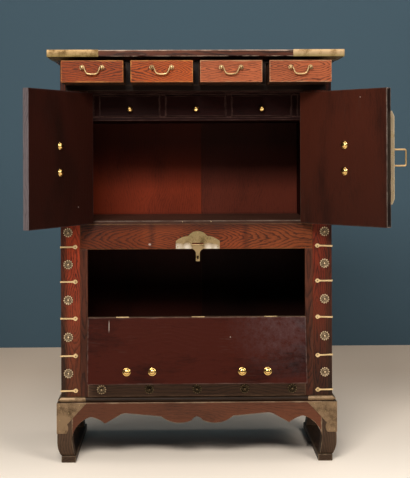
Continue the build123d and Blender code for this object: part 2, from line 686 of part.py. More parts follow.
def inner_studs(plane, thickness):
    """The domed studs that hold a flap's pair of posts, on the other face of its wood."""
    ball = (FLAP_STUD_RADIUS**2 + FLAP_STUD_HEIGHT**2) / (2 * FLAP_STUD_HEIGHT)
    domes = []
    for z in (-FLAP_HANDLE.spacing / 2, FLAP_HANDLE.spacing / 2):
        with BuildPart(moved(plane, 0, thickness, z)) as dome:
            with Locations((0, FLAP_STUD_HEIGHT - ball, 0)):
                Sphere(ball)
            with Locations((0, -ball, 0)):
                Box(2 * ball, 2 * ball, 2 * ball, mode=Mode.SUBTRACT)
        domes.append(dome.part)
    return domes


# ================================================================ drawers
def drawer(x, front_y, z, width, height, depth, front_gap):
    """A drawer's front, sides, back and bottom. x is its middle, and z is the surface that it slides on."""
    left, right = x - width / 2, x + width / 2
    low = z + DRAWER_REST_GAP
    box_front, box_back = front_y + DRAWER_FRONT_THICK, front_y + depth
    side_top = z + height - DRAWER_SIDE_DROP
    with BuildPart() as face:
        board((left, front_y, z + front_gap), (right, box_front, z + height - front_gap))
    with BuildPart() as walls:
        board((left, box_front, low), (left + DRAWER_WALL, box_back, side_top))
        board((right - DRAWER_WALL, box_front, low), (right, box_back, side_top))
    with BuildPart() as rear:
        board((left + DRAWER_WALL, box_back - DRAWER_WALL, low), (right - DRAWER_WALL, box_back, side_top))
    with BuildPart() as bottom:
        board((left + DRAWER_WALL, box_front, low),
              (right - DRAWER_WALL, box_back - DRAWER_WALL, low + DRAWER_BOTTOM))
    return group(face.part, walls.part, rear.part, bottom.part)


for i in range(DRAWER_COUNT):
    x = (i - (DRAWER_COUNT - 1) / 2) * DRAWER_PITCH
    face_y = FRONT - DRAWER_OUT
    write(drawer(x, face_y, DRAWER_Z, DRAWER_BAY - 2 * DRAWER_SIDE_GAP, DRAWER_OPENING,
                 BACK_FACE - DRAWER_BACK_GAP - FRONT, DRAWER_FRONT_GAP), f"top_drawer_{i + 1}")
    handle_z = DRAWER_Z + DRAWER_OPENING / 2 + DRAWER_HANDLE_RISE
    hanging = Plane(origin=(x, face_y, handle_z), x_dir=(0, 0, -1), z_dir=(1, 0, 0))
    write(handle_posts(hanging, DRAWER_HANDLE), f"top_drawer_posts_{i + 1}")
    write(handle_bail(hanging, DRAWER_HANDLE), f"top_drawer_bail_{i + 1}")

for i in range(INNER_COUNT):
    x = (i - (INNER_COUNT - 1) / 2) * INNER_PITCH
    width = INNER_PITCH - INNER_DIVIDER - 2 * DRAWER_SIDE_GAP
    write(drawer(x, INNER_FRONT, INNER_SHELF_TOP, width, INNER_OPENING,
                 BACK_FACE - DRAWER_BACK_GAP - INNER_FRONT, INNER_FRONT_GAP), f"inner_drawer_{i + 1}")
    knob_z = INNER_SHELF_TOP + INNER_OPENING / 2 - KNOB_DROP
    with BuildPart() as knob:
        with Locations((x, INNER_FRONT - KNOB_STAND_OFF / 2, knob_z)):
            Cylinder(KNOB_NECK_RADIUS, KNOB_STAND_OFF, rotation=(90, 0, 0))
        with Locations((x, INNER_FRONT - KNOB_STAND_OFF, knob_z)):
            Sphere(KNOB_RADIUS)
        with Locations((x, INNER_FRONT + KNOB_RADIUS, knob_z)):
            Box(2 * KNOB_RADIUS, 2 * KNOB_RADIUS, 2 * KNOB_RADIUS, mode=Mode.SUBTRACT)
    write(knob.part, f"inner_drawer_knob_{i + 1}")


# ================================================================ hinges
# A hinge's plane has its origin at the middle of the axis, x from the axis over the leaf, y towards the wood
# and z along the axis.
def hinge_leaf(plane, length, leaf_width, has_pin):
    """One leaf. The leaf with the pin has the two end knuckles, and the other has the middle one, bored."""
    third = length / 3
    if has_pin:
        knuckles = ((-length / 2, -third / 2 - HINGE_END_GAP), (third / 2 + HINGE_END_GAP, length / 2))
    else:
        knuckles = ((-third / 2, third / 2),)
    with BuildPart(plane) as leaf:
        board((HINGE_CLEAR, HINGE_PROUD - HINGE_LEAF_THICK, -length / 2),
              (leaf_width, HINGE_PROUD, length / 2))
        for low, high in knuckles:
            board((0, HINGE_PROUD - HINGE_LEAF_THICK, low), (HINGE_CLEAR, HINGE_PROUD, high))
            with Locations((0, 0, (low + high) / 2)):
                Cylinder(HINGE_RADIUS, high - low)
        if has_pin:
            Cylinder(HINGE_PIN_RADIUS, length)
        else:
            Cylinder(HINGE_PIN_RADIUS + HINGE_PIN_GAP, length, mode=Mode.SUBTRACT)
    return leaf.part


def other_leaf(plane):
    """The plane of the leaf on the other side of a hinge's axis."""
    return Plane(origin=plane.origin, x_dir=plane.x_dir * -1, z_dir=plane.z_dir * -1)


# ================================================================ doors
DOOR_HEIGHT = UPPER_OPENING - DOOR_TOP_GAP - DOOR_BOTTOM_GAP
DOOR_MIDDLE_Z = UPPER_Z + DOOR_BOTTOM_GAP + DOOR_HEIGHT / 2
DOOR_EDGE = JAMB - DOOR_GAP  # from the hinge's axis to the door's free edge
DOOR_HINGE_OFFSETS = (DOOR_HEIGHT / 2 - DOOR_HINGE_FROM_END, DOOR_HINGE_FROM_END - DOOR_HEIGHT / 2)


def door_plate(plane, outer):
    """A lock plate that ends at outer, from the hinge, with the two eyes of its lock bail."""
    half, inner = DOOR_PLATE_LENGTH / 2, outer - DOOR_PLATE_WIDTH
    full = half - 2 * DOOR_PLATE_TAPER
    face = HINGE_PROUD - DOOR_PLATE_THICK
    axis_x, axis_y = outer - LOCK_BAIL_FROM_EDGE, face - LOCK_BAIL_STAND_OFF
    seat = facing_out(moved(plane, 0, HINGE_PROUD, 0))
    with BuildPart(plane) as plate:
        with BuildSketch(seat):
            with BuildLine():
                Polyline((inner + DOOR_PLATE_TAPER, -half), (outer - DOOR_PLATE_TAPER, -half),
                         (outer, -full), (outer, full), (outer - DOOR_PLATE_TAPER, half),
                         (inner + DOOR_PLATE_TAPER, half), (inner, full), (inner, -full), close=True)
            make_face()
        extrude(amount=DOOR_PLATE_THICK)
        for z in (-LOCK_EYE_SPACING / 2, LOCK_EYE_SPACING / 2):
            with Locations((axis_x, axis_y, z)):
                Cylinder(LOCK_EYE_RADIUS, LOCK_EYE_WIDTH)
            with Locations((axis_x, axis_y, z)):
                Cylinder(LOCK_BAIL_WIRE / 2 + BAIL_GAP, LOCK_EYE_WIDTH, mode=Mode.SUBTRACT)
    return plate.part


def lock_bail(plane, outer, turned):
    """The square lock bail of a door plate, swung out by an angle from lying towards the hinge."""
    axis_x = outer - LOCK_BAIL_FROM_EDGE
    axis_y = HINGE_PROUD - DOOR_PLATE_THICK - LOCK_BAIL_STAND_OFF
    swung = turn(moved(plane, axis_x, axis_y, 0), 180 + turned)
    half, end = LOCK_BAIL_HEIGHT / 2, LOCK_EYE_SPACING / 2 - LOCK_EYE_WIDTH
    points = [(0, -end), (0, -half), (LOCK_BAIL_REACH, -half), (LOCK_BAIL_REACH, half), (0, half), (0, end)]
    return bent_wire(swung, points, LOCK_BAIL_WIRE)


# A flap's plane has its origin at the middle of the hinge's axis, x to the free edge, y inwards and z along
# the axis. The right door's z points down, so both doors are one design.
left_shut = Plane(origin=(-JAMB, HINGE_Y, DOOR_MIDDLE_Z), x_dir=(1, 0, 0), z_dir=(0, 0, 1))
right_shut = Plane(origin=(JAMB, HINGE_Y, DOOR_MIDDLE_Z), x_dir=(-1, 0, 0), z_dir=(0, 0, -1))
RIGHT_PLATE_OUTER = DOOR_EDGE + RIGHT_PLATE_OVERHANG
LEFT_PLATE_OUTER = DOOR_EDGE - RIGHT_PLATE_OVERHANG + 2 * DOOR_GAP - PLATE_GAP
DOORS = (
    ("left", left_shut, LEFT_DOOR_ANGLE, LEFT_PLATE_OUTER, 0),
    ("right", right_shut, RIGHT_DOOR_ANGLE, RIGHT_PLATE_OUTER, LOCK_BAIL_ANGLE),
)
case_leaves = []
for name, shut, angle, plate_outer, bail_angle in DOORS:
    door_frame = turn(shut, -angle)
    with BuildPart(door_frame) as door:
        board((DOOR_GAP, HINGE_PROUD, -DOOR_HEIGHT / 2),
              (DOOR_EDGE, HINGE_PROUD + DOOR_THICK, DOOR_HEIGHT / 2))
    write(door.part, f"{name}_door")

    door_leaves = []
    for offset_z in DOOR_HINGE_OFFSETS:
        on_door = moved(door_frame, 0, 0, offset_z)
        on_case = other_leaf(moved(shut, 0, 0, offset_z))
        door_leaves.append(hinge_leaf(on_door, DOOR_HINGE_LENGTH, DOOR_LEAF_WIDTH, has_pin=False))
        case_leaves.append(hinge_leaf(on_case, DOOR_HINGE_LENGTH, CASE_LEAF_WIDTH, has_pin=True))
    write(group(*door_leaves), f"{name}_door_hinge_leaves")

    write(door_plate(door_frame, plate_outer), f"{name}_door_plate")
    write(lock_bail(door_frame, plate_outer, bail_angle), f"{name}_lock_bail")

    outside = moved(door_frame, DOOR_HANDLE_FROM_HINGE, HINGE_PROUD, -shut.z_dir.Z * DOOR_HANDLE_DROP)
    write(group(handle_posts(outside, FLAP_HANDLE), *inner_studs(outside, DOOR_THICK)), f"{name}_door_posts")
    write(handle_bail(outside, FLAP_HANDLE), f"{name}_door_bail")


# ================================================================ drop front
DROP_HALF = JAMB - DROP_GAP
DROP_EDGE = LOWER_OPENING - DROP_EDGE_GAP
drop_shut = Plane(origin=(0, HINGE_Y, LOWER_Z), x_dir=(0, 0, 1), z_dir=(-1, 0, 0))
drop_frame = turn(drop_shut, -DROP_ANGLE)

with BuildPart(drop_frame) as drop_front:
    board((DROP_GAP, HINGE_PROUD, -DROP_HALF), (DROP_EDGE, HINGE_PROUD + DROP_THICK, DROP_HALF))
write(drop_front.part, "drop_front")

drop_leaves = []
drop_hinge_z = DROP_HALF - DROP_HINGE_FROM_END
for z in (-drop_hinge_z, -LOCK_X, drop_hinge_z):
    on_flap = moved(drop_frame, 0, 0, z)
    on_case = other_leaf(moved(drop_shut, 0, 0, z))
    drop_leaves.append(hinge_leaf(on_flap, DROP_HINGE_LENGTH, DROP_LEAF_WIDTH, has_pin=False))
    case_leaves.append(hinge_leaf(on_case, DROP_HINGE_LENGTH, DROP_LEAF_WIDTH, has_pin=True))
write(group(*drop_leaves), "drop_front_hinge_leaves")
write(group(*case_leaves), "case_hinge_leaves")

drop_posts = []
drop_handle_z = DROP_HALF - DROP_HANDLE_FROM_END
for name, z in (("left", drop_handle_z), ("right", -drop_handle_z)):
    outside = moved(drop_frame, DROP_HANDLE_FROM_HINGE, HINGE_PROUD, z)
    drop_posts.append(handle_posts(outside, FLAP_HANDLE))
    drop_posts += inner_studs(outside, DROP_THICK)
    write(handle_bail(outside, FLAP_HANDLE, turned=180 - DROP_ANGLE), f"drop_front_bail_{name}")
write(group(*drop_posts), "drop_front_posts")


# ================================================================ lock of the drop front
HASP_Z = RAIL_Z + HASP_AXIS_ABOVE_RAIL
HASP_Y = FRONT - SHEET - HASP_STAND_OFF
EAR_LENGTH = 4
plate_foot = (LOCK_X, FRONT, RAIL_Z + LOCK_PLATE_LIFT)
with BuildPart() as lock_plate:
    with BuildSketch(Plane(origin=plate_foot, x_dir=(1, 0, 0), z_dir=(0, -1, 0))):
        with BuildLine():
            half, lobe = LOCK_PLATE_WIDTH / 2, LOCK_LOBE_WIDTH / 2
            Line((-half, 0), (half, 0))
            for side in SIDES:
                Line((side * half, 0), (side * half, LOCK_SHOULDER))
                ThreePointArc((side * half, LOCK_SHOULDER), (side * (half + lobe) * 0.52, LOCK_NECK - 4.5),
                              (side * lobe, LOCK_NECK))
            ThreePointArc((-lobe, LOCK_NECK), (0, LOCK_LOBE), (lobe, LOCK_NECK))
        make_face()
        with Locations((0, LOCK_SLOT_RISE)):
            Rectangle(LOCK_SLOT_WIDTH, LOCK_SLOT_HEIGHT, mode=Mode.SUBTRACT)
    extrude(amount=SHEET)
    for side in SIDES:
        with Locations((LOCK_X + side * (HASP_WIDTH / 2 + HINGE_END_GAP + EAR_LENGTH / 2), HASP_Y, HASP_Z)):
            Cylinder(HASP_STAND_OFF, EAR_LENGTH, rotation=(0, 90, 0))
    with Locations((LOCK_X, HASP_Y, HASP_Z)):
        Cylinder(HASP_PIN_RADIUS, HASP_WIDTH + 2 * HINGE_END_GAP, rotation=(0, 90, 0))
write(lock_plate.part, "lock_plate")

hasp_top = (LOCK_X, HASP_Y + HASP_THICK / 2, HASP_Z)
with BuildPart() as hasp:
    with BuildSketch(Plane(origin=hasp_top, x_dir=(1, 0, 0), z_dir=(0, -1, 0))):
        with BuildLine():
            half, tip = HASP_WIDTH / 2, HASP_TIP_WIDTH / 2
            Line((-half, 0), (half, 0))
            for side in SIDES:
                Line((side * half, 0), (side * half, -HASP_LENGTH * 0.27))
                ThreePointArc((side * half, -HASP_LENGTH * 0.27), (side * (tip + 2), -HASP_LENGTH * 0.38),
                              (side * tip, -HASP_LENGTH * 0.52))
                Line((side * tip, -HASP_LENGTH * 0.52), (side * tip, -HASP_LENGTH))
            Line((-tip, -HASP_LENGTH), (tip, -HASP_LENGTH))
        make_face()
        with Locations((0, -HASP_LENGTH * 0.76)):
            Rectangle(HASP_SLOT_WIDTH, HASP_SLOT_HEIGHT, mode=Mode.SUBTRACT)
    extrude(amount=HASP_THICK)
    with Locations((LOCK_X, HASP_Y, HASP_Z)):
        Cylinder(HASP_RADIUS, HASP_WIDTH, rotation=(0, 90, 0))
        Cylinder(HASP_PIN_RADIUS + HINGE_PIN_GAP, HASP_WIDTH, rotation=(0, 90, 0), mode=Mode.SUBTRACT)
write(hasp.part, "hasp")

# The staple that the hasp drops over when the drop front is shut.
STAPLE_FROM_HINGE = HASP_Z - HASP_LENGTH * 0.76 - LOWER_Z
with BuildPart(moved(drop_frame, 0, 0, -LOCK_X)) as staple:
    board((STAPLE_FROM_HINGE - STAPLE_PLATE_HEIGHT / 2, HINGE_PROUD - SHEET, -STAPLE_PLATE_WIDTH / 2),
          (min(STAPLE_FROM_HINGE + STAPLE_PLATE_HEIGHT / 2, DROP_EDGE), HINGE_PROUD, STAPLE_PLATE_WIDTH / 2))
    board((STAPLE_FROM_HINGE - STAPLE_HEIGHT / 2, HINGE_PROUD - SHEET - STAPLE_REACH, -STAPLE_WIDTH / 2),
          (STAPLE_FROM_HINGE + STAPLE_HEIGHT / 2, HINGE_PROUD - SHEET, STAPLE_WIDTH / 2))
    hole_y = HINGE_PROUD - SHEET - STAPLE_REACH + STAPLE_HOLE_FROM_TIP
    with Locations((STAPLE_FROM_HINGE, hole_y, 0)):
        Cylinder(STAPLE_HOLE_RADIUS, STAPLE_WIDTH, mode=Mode.SUBTRACT)
write(staple.part, "drop_front_staple")
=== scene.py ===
# %% [markdown]
# # Dressing a Korean cupboard chest
# The chest is a case of elm boards on a low stand. Four drawers sit under its top, a cupboard with two doors
# holds three more, and a drop front closes the space below. Brass covers its corners, hinges and locks.
# Its solids are already made, and each lies where it belongs. This lesson gives them what the eye looks for:
# edges softened by a plane and by hands, the grain of each board, sheet brass gone dull with age, and cast
# brass still bright where fingers polish it.

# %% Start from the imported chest
import math
import random

import bmesh
import bpy
from mathutils import Matrix, Vector


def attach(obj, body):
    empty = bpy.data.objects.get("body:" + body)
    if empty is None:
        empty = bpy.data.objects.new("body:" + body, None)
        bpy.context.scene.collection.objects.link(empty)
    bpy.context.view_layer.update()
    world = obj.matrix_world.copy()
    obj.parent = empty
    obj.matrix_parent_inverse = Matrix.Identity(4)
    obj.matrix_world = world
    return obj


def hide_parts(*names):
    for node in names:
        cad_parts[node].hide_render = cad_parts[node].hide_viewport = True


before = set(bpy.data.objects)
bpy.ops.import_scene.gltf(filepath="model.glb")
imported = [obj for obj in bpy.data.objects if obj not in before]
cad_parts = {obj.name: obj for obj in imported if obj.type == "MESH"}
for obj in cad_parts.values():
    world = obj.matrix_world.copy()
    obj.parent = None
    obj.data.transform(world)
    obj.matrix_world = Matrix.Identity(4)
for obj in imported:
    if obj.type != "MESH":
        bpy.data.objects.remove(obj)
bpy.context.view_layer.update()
MM = 0.001  # drawings of furniture are in millimetres, and Blender works in metres

# %% [markdown]
# ## Four small helpers
# A finish in Blender is a tree of nodes, and a chest like this needs some hundreds of them. One function that
# adds a node with its settings and its wires keeps each line readable. A node can be handed on whole, and then
# its first output is meant. Colours are written as a painter's chart gives them, and turned into light here.

# %% Helpers: a colour, a node, an empty tree and an object
def linear(code):
    """A colour written as #rrggbb, turned into the linear values that a renderer adds up."""
    parts = [int(code[i:i + 2], 16) / 255 for i in (1, 3, 5)]
    return [c / 12.92 if c <= 0.04045 else ((c + 0.055) / 1.055) ** 2.4 for c in parts] + [1.0]


def add(tree, kind, wires, stops=None, **settings):
    """Adds one node. wires gives its inputs, in a list from the first one on or by name or number, and each
    input gets a value, an output, or a node, whose first output it takes."""
    node = tree.nodes.new(kind if "Node" in kind else "ShaderNode" + kind)
    for name, value in settings.items():
        setattr(node, name, value)
    for key, value in wires.items() if isinstance(wires, dict) else enumerate(wires):
        if isinstance(value, bpy.types.Node):
            value = value.outputs[0]
        if isinstance(value, bpy.types.NodeSocket):
            tree.links.new(value, node.inputs[key])
        else:
            node.inputs[key].default_value = value
    if stops:
        ramp = node.color_ramp
        while len(ramp.elements) < len(stops):
            ramp.elements.new(0.5)
        for element, (position, shade) in zip(ramp.elements, stops):
            element.position = position
            element.color = [shade] * 3 + [1] if isinstance(shade, (int, float)) else shade
    return node


def emptied(owner):
    """The node tree of a new material or world, with nothing in it yet."""
    owner.use_nodes = True
    owner.node_tree.nodes.clear()
    return owner.node_tree


def placed(name, data):
    """A new object in the scene."""
    thing = bpy.data.objects.new(name, data)
    bpy.context.collection.objects.link(thing)
    return thing


print("half of full brightness, #808080, is", round(linear("#808080")[0], 3), "in linear light")

# %% [markdown]
# ## The camera
# A chest is drawn best by a long lens at about three quarters of its height, far enough away that its uprights
# stay parallel. The lens looks level, so that they do. To fit the feet in the frame the picture plane is
# shifted down, as on a view camera, instead of tilting the lens. It stands one degree off the middle, and it
# leans by a fifth of a degree, as a tripod on an old floor does.

# %% Camera
TURN = math.radians(0.94)
LEAN = math.radians(0.22)

camera = placed("camera", bpy.data.cameras.new("camera"))
camera.data.lens = 84.65
camera.data.shift_x = 0.0161
camera.data.shift_y = -0.1799
camera.location = (-0.0517, -3.5713, 0.9247)
camera.rotation_euler = (math.pi / 2, LEAN, -TURN)
bpy.context.scene.camera = camera
print("camera at", [round(c, 3) for c in camera.location])

# %% [markdown]
# ## Light, floor and backdrop
# A soft lamp in front, high and a little to the left, is the window that a room would have. A weaker one on the
# right opens the shadows, and a wide one overhead stands for the ceiling. The light comes down at about 35
# degrees, so the cupboard's shelf shades its back, and the apron draws a wavy shadow on the floor. The floor is
# pale and the backdrop is slate blue: dark wood needs a light floor and a cool wall to stand out.

# %% Lamps
def lamp(name, place, towards, size, watts, shade):
    """A soft lamp: size in metres, its power in watts."""
    light = placed(name, bpy.data.lights.new(name, "AREA"))
    light.data.shape = "RECTANGLE"
    light.data.size, light.data.size_y = size
    light.data.energy = watts
    light.data.color = linear(shade)[:3]
    light.location = place
    light.rotation_euler = (Vector(towards) - Vector(place)).to_track_quat("-Z", "Y").to_euler()


lamp("window", (-0.75, -3.4, 2.75), (0, -0.2, 0.5), (1.5, 0.8), 140, "#fffaf2")
lamp("fill", (2.2, -3.0, 2.5), (0, -0.2, 0.4), (1.4, 1.4), 60, "#fffaf2")
lamp("ceiling", (0.2, -0.8, 3.6), (0.1, -0.6, 0), (4.0, 2.6), 62, "#fffaf4")

world = bpy.data.worlds.new("room")
bpy.context.scene.world = world
air = emptied(world)
add(air, "OutputWorld", {"Surface": add(air, "Background", {"Color": linear("#e9e6e1"), "Strength": 0.06})})
bpy.context.scene.view_settings.view_transform = "Standard"


# %% Floor and backdrop, two painted sheets
def sheet_of(name, corners, material):
    """A flat sheet through four corners."""
    mesh = bpy.data.meshes.new(name)
    mesh.from_pydata(corners, [], [(0, 1, 2, 3)])
    mesh.materials.append(material)
    placed(name, mesh)


def paint(name, low, high, far="#ffffff", one_sided=False):
    """Matt paint: clouds half a metre wide where the roller overlapped, a fine grit, and far's tint at the back, which
    on the floor is painted shade where the lamps' light falls off.
    """
    material = bpy.data.materials.new(name)
    tree = emptied(material)
    place = add(tree, "TexCoord", {}).outputs["Object"]
    cloud = add(tree, "TexNoise", {"Vector": place, "Scale": 2, "Detail": 6})
    grit = add(tree, "TexNoise", {"Vector": place, "Scale": 140, "Detail": 2})
    tone = add(tree, "Math", [cloud, grit], operation="ADD")
    shade = add(tree, "ValToRGB", [tone], stops=[(0.3, linear(low)), (0.75, linear(high))])
    back = add(tree, "SeparateXYZ", [place]).outputs["Y"]
    back = add(tree, "MapRange", [back, -0.4, 1.2])
    tint = add(tree, "Mix", {0: back, 6: (1, 1, 1, 1), 7: linear(far)}, data_type="RGBA")
    toned = add(tree, "Mix", {0: 1.0, 6: shade, 7: tint.outputs[2]}, data_type="RGBA", blend_type="MULTIPLY")
    seen = add(tree, "BsdfPrincipled", {"Base Color": toned.outputs[2], "Roughness": 0.85, "Specular IOR Level": 0.2})
    if one_sided:
        # From behind, the sheet is clear, so that the chest's back can be looked at as well.
        behind = add(tree, "NewGeometry", {}).outputs["Backfacing"]
        seen = add(tree, "MixShader", [behind, seen, add(tree, "BsdfTransparent", {})])
    add(tree, "OutputMaterial", {"Surface": seen})
    return material


# Smooth pale floor paint, painted a little darker and pinker at the back as shade where the light falls off, and slate
# wall paint: both matt, so that no lamp shows.
WIDE, FAR, TALL = 6, 1.8, 5  # metres
sheet_of("floor", [(-WIDE, -WIDE, 0), (WIDE, -WIDE, 0), (WIDE, FAR, 0), (-WIDE, FAR, 0)],
         paint("pale_floor_paint", "#e0d0be", "#faf0e4", far="#e6dacf"))
sheet_of("backdrop", [(-WIDE, FAR, 0), (WIDE, FAR, 0), (WIDE, FAR, TALL), (-WIDE, FAR, TALL)],
         paint("slate_wall_paint", "#3b4f5b", "#435967", one_sided=True))
print("stage: floor and backdrop,", 2 * WIDE, "m wide")

# %% [markdown]
# ## Boards with eased edges
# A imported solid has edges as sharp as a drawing. On a real board the plane takes the corner off and a century
# of hands rounds it, and that narrow curve is what catches the light. Each solid is copied, its triangles are
# joined back into whole faces, and its sharp edges are bevelled. A bevel modifier could do this too, but here
# each board also needs to know its own length, width and thickness, so that its grain runs along it.

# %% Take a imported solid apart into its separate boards
def boards_of(node_name):
    """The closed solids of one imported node, each as (points, triangles).

    The triangles of a solid lie together in the mesh, and each of its edges is used once in each direction.
    So a solid is whole as soon as no edge is left unpaired.
    """
    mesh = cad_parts[node_name].data
    index, points = {}, []
    corner = []
    for vertex in mesh.vertices:
        key = tuple(round(c, 6) for c in vertex.co)
        if key not in index:
            index[key] = len(points)
            points.append(vertex.co.copy())
        corner.append(index[key])
    solids, triangles, unpaired = [], [], set()
    for polygon in mesh.polygons:
        triangle = [corner[i] for i in polygon.vertices]
        if len(set(triangle)) < 3:
            continue
        triangles.append(triangle)
        for a, b in zip(triangle, triangle[1:] + triangle[:1]):
            if (b, a) in unpaired:
                unpaired.remove((b, a))
            else:
                unpaired.add((a, b))
        if not unpaired:
            solids.append((points, triangles))
            triangles = []
    if triangles:
        print("not closed:", node_name, len(triangles), "triangles")
        solids.append((points, triangles))
    return solids


print("boards in the frame of the top drawers:", len(boards_of("drawer_frame")))

# %% Ease one solid, and mark how its grain runs
SQUARE = (Vector((1, 0, 0)), Vector((0, 1, 0)), Vector((0, 0, 1)))


def eased_solid(points, triangles, ease, sharp):
    """One solid with its flat faces whole again and its sharp edges rounded by ease."""
    solid = bmesh.new()
    used = {}
    for triangle in triangles:
        for i in triangle:
            if i not in used:
                used[i] = solid.verts.new(points[i])
        try:
            solid.faces.new([used[i] for i in triangle])
        except ValueError:
            pass
    solid.normal_update()
    bmesh.ops.dissolve_limit(solid, angle_limit=math.radians(1), verts=solid.verts[:], edges=solid.edges[:])
    hard = [e for e in solid.edges if len(e.link_faces) == 2 and e.calc_face_angle(0) > math.radians(sharp)]
    rounded = bmesh.ops.bevel(solid, geom=hard, offset=ease, offset_type="OFFSET", segments=2, profile=0.5,
                              affect="EDGES", clamp_overlap=True)
    for face in rounded["faces"]:
        face.material_index = 1
    return solid


def fitted(piece, body, nodes):
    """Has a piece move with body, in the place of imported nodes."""
    if nodes:
        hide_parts(*nodes)
    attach(piece, body)
    return piece


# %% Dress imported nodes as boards
THIN_SHARE = 0.22  # the most of a thin board's thickness that its edge may lose


def dressed(name, node_names, body, materials, ease=1.2, axes=SQUARE, sharp=30, chosen_solids=None):
    """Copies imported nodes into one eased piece. materials gives each solid's finish, in their order."""
    chance = random.Random(name + "1")
    points, faces, finish, eased, grain, span, place = [], [], [], [], [], [], []
    count = 0
    for node_name in node_names:
        for number, (corners, triangles) in enumerate(boards_of(node_name)):
            if chosen_solids and number not in chosen_solids:
                continue
            used = sorted({i for t in triangles for i in t})
            sizes = []
            for axis in axes:
                reach = [corners[i].dot(axis) for i in used]
                sizes.append((max(reach) - min(reach), (max(reach) + min(reach)) / 2, axis))
            thin, wide, long = sorted(sizes, key=lambda s: s[0])
            solid = eased_solid(corners, triangles, min(ease * MM, thin[0] * THIN_SHARE), sharp)
            where = [chance.random() for _ in range(3)]
            first = len(points)
            for v in solid.verts:
                v.index = first
                first += 1
                points.append(v.co.copy())
                grain.append([(v.co.dot(axis) - middle) / MM for _, middle, axis in (wide, thin, long)])
                span.append([size / 2 / MM for size, _, _ in (wide, thin, long)])
                place.append(where)
            for f in solid.faces:
                faces.append([v.index for v in f.verts])
                finish.append(count)
                eased.append(float(f.material_index))
            solid.free()
            count += 1
    mesh = bpy.data.meshes.new(name)
    mesh.from_pydata(points, [], faces)
    chosen = list(dict.fromkeys(materials))
    for material in chosen:
        mesh.materials.append(material)
    for polygon, solid_number in zip(mesh.polygons, finish):
        polygon.material_index = chosen.index(materials[min(solid_number, len(materials) - 1)])
    for title, values in (("grain", grain), ("span", span), ("place", place)):
        attribute = mesh.attributes.new(title, "FLOAT_VECTOR", "POINT")
        attribute.data.foreach_set("vector", [c for value in values for c in value])
    mesh.attributes.new("eased", "FLOAT", "FACE").data.foreach_set("value", eased)
    mesh.shade_smooth()
    mesh.set_sharp_from_angle(angle=math.radians(16))
    return fitted(placed(name, mesh), body, node_names)


print("a board's edge is eased by 1.2 mm, and by", THIN_SHARE, "of its thickness at most")

# %% [markdown]
# ## Old elm under oil
# The boards are sawn flat from the log. The saw cuts the yearly rings at a low angle, and they show as nested
# arches. To draw that, each point's distance from the heart of the log is worked out: sideways along the
# board's width, and downwards to a heart that lies at a depth which changes slowly along the board. That
# distance, counted in rings, is ramped from pale early wood to a thin dark line of late wood. Along the grain
# run fibres and open pores. A hand-rubbed oil finish darkens with age and wears off first at the edges.

# %% Noise stretched along a board
# Each row: (across, through, along) in millimetres, then the noise's detail and roughness.
GRAIN_NOISE = {
    "wander": ((80, 80, 350), 3, 0.45),  # carries the rings about 10 mm sideways
    "swell": ((300, 300, 170), 1, 0.5),  # brings the heart nearer the face, and away again
    "feather": ((7, 7, 22), 2, 0.5),  # elm's late wood zigzags by a millimetre or two
    "fibre": ((1.5, 1.5, 60), 4, 0.6),
    "pore": ((1.2, 1.2, 16), 1, 0.5),  # four times life, so that pores show
    "stain": ((110, 110, 260), 5, 0.55),
    "rub": ((14, 14, 45), 4, 0.65),  # patches where hands have rubbed
    "stroke": ((2.2, 2.2, 55), 2, 0.5),  # scuffs
    "patch": ((60, 60, 90), 3, 0.5),
}
SCUFF_TURN = 0.5  # radians: the scuffs are read from another stretch of noise than the rest


def grain_noise(tree, log):
    """One noise for each row of the table, read at a place in the log."""
    made = {}
    for name, (size, detail, roughness) in GRAIN_NOISE.items():
        turn = (0, SCUFF_TURN if name == "stroke" else 0, 0)
        way = add(tree, "Mapping", {"Vector": log, "Rotation": turn, "Scale": [1 / reach for reach in size]})
        made[name] = add(tree, "TexNoise", {"Vector": way, "Scale": 1.0, "Detail": detail, "Roughness": roughness})
    return made


print("noises along the grain:", len(GRAIN_NOISE))


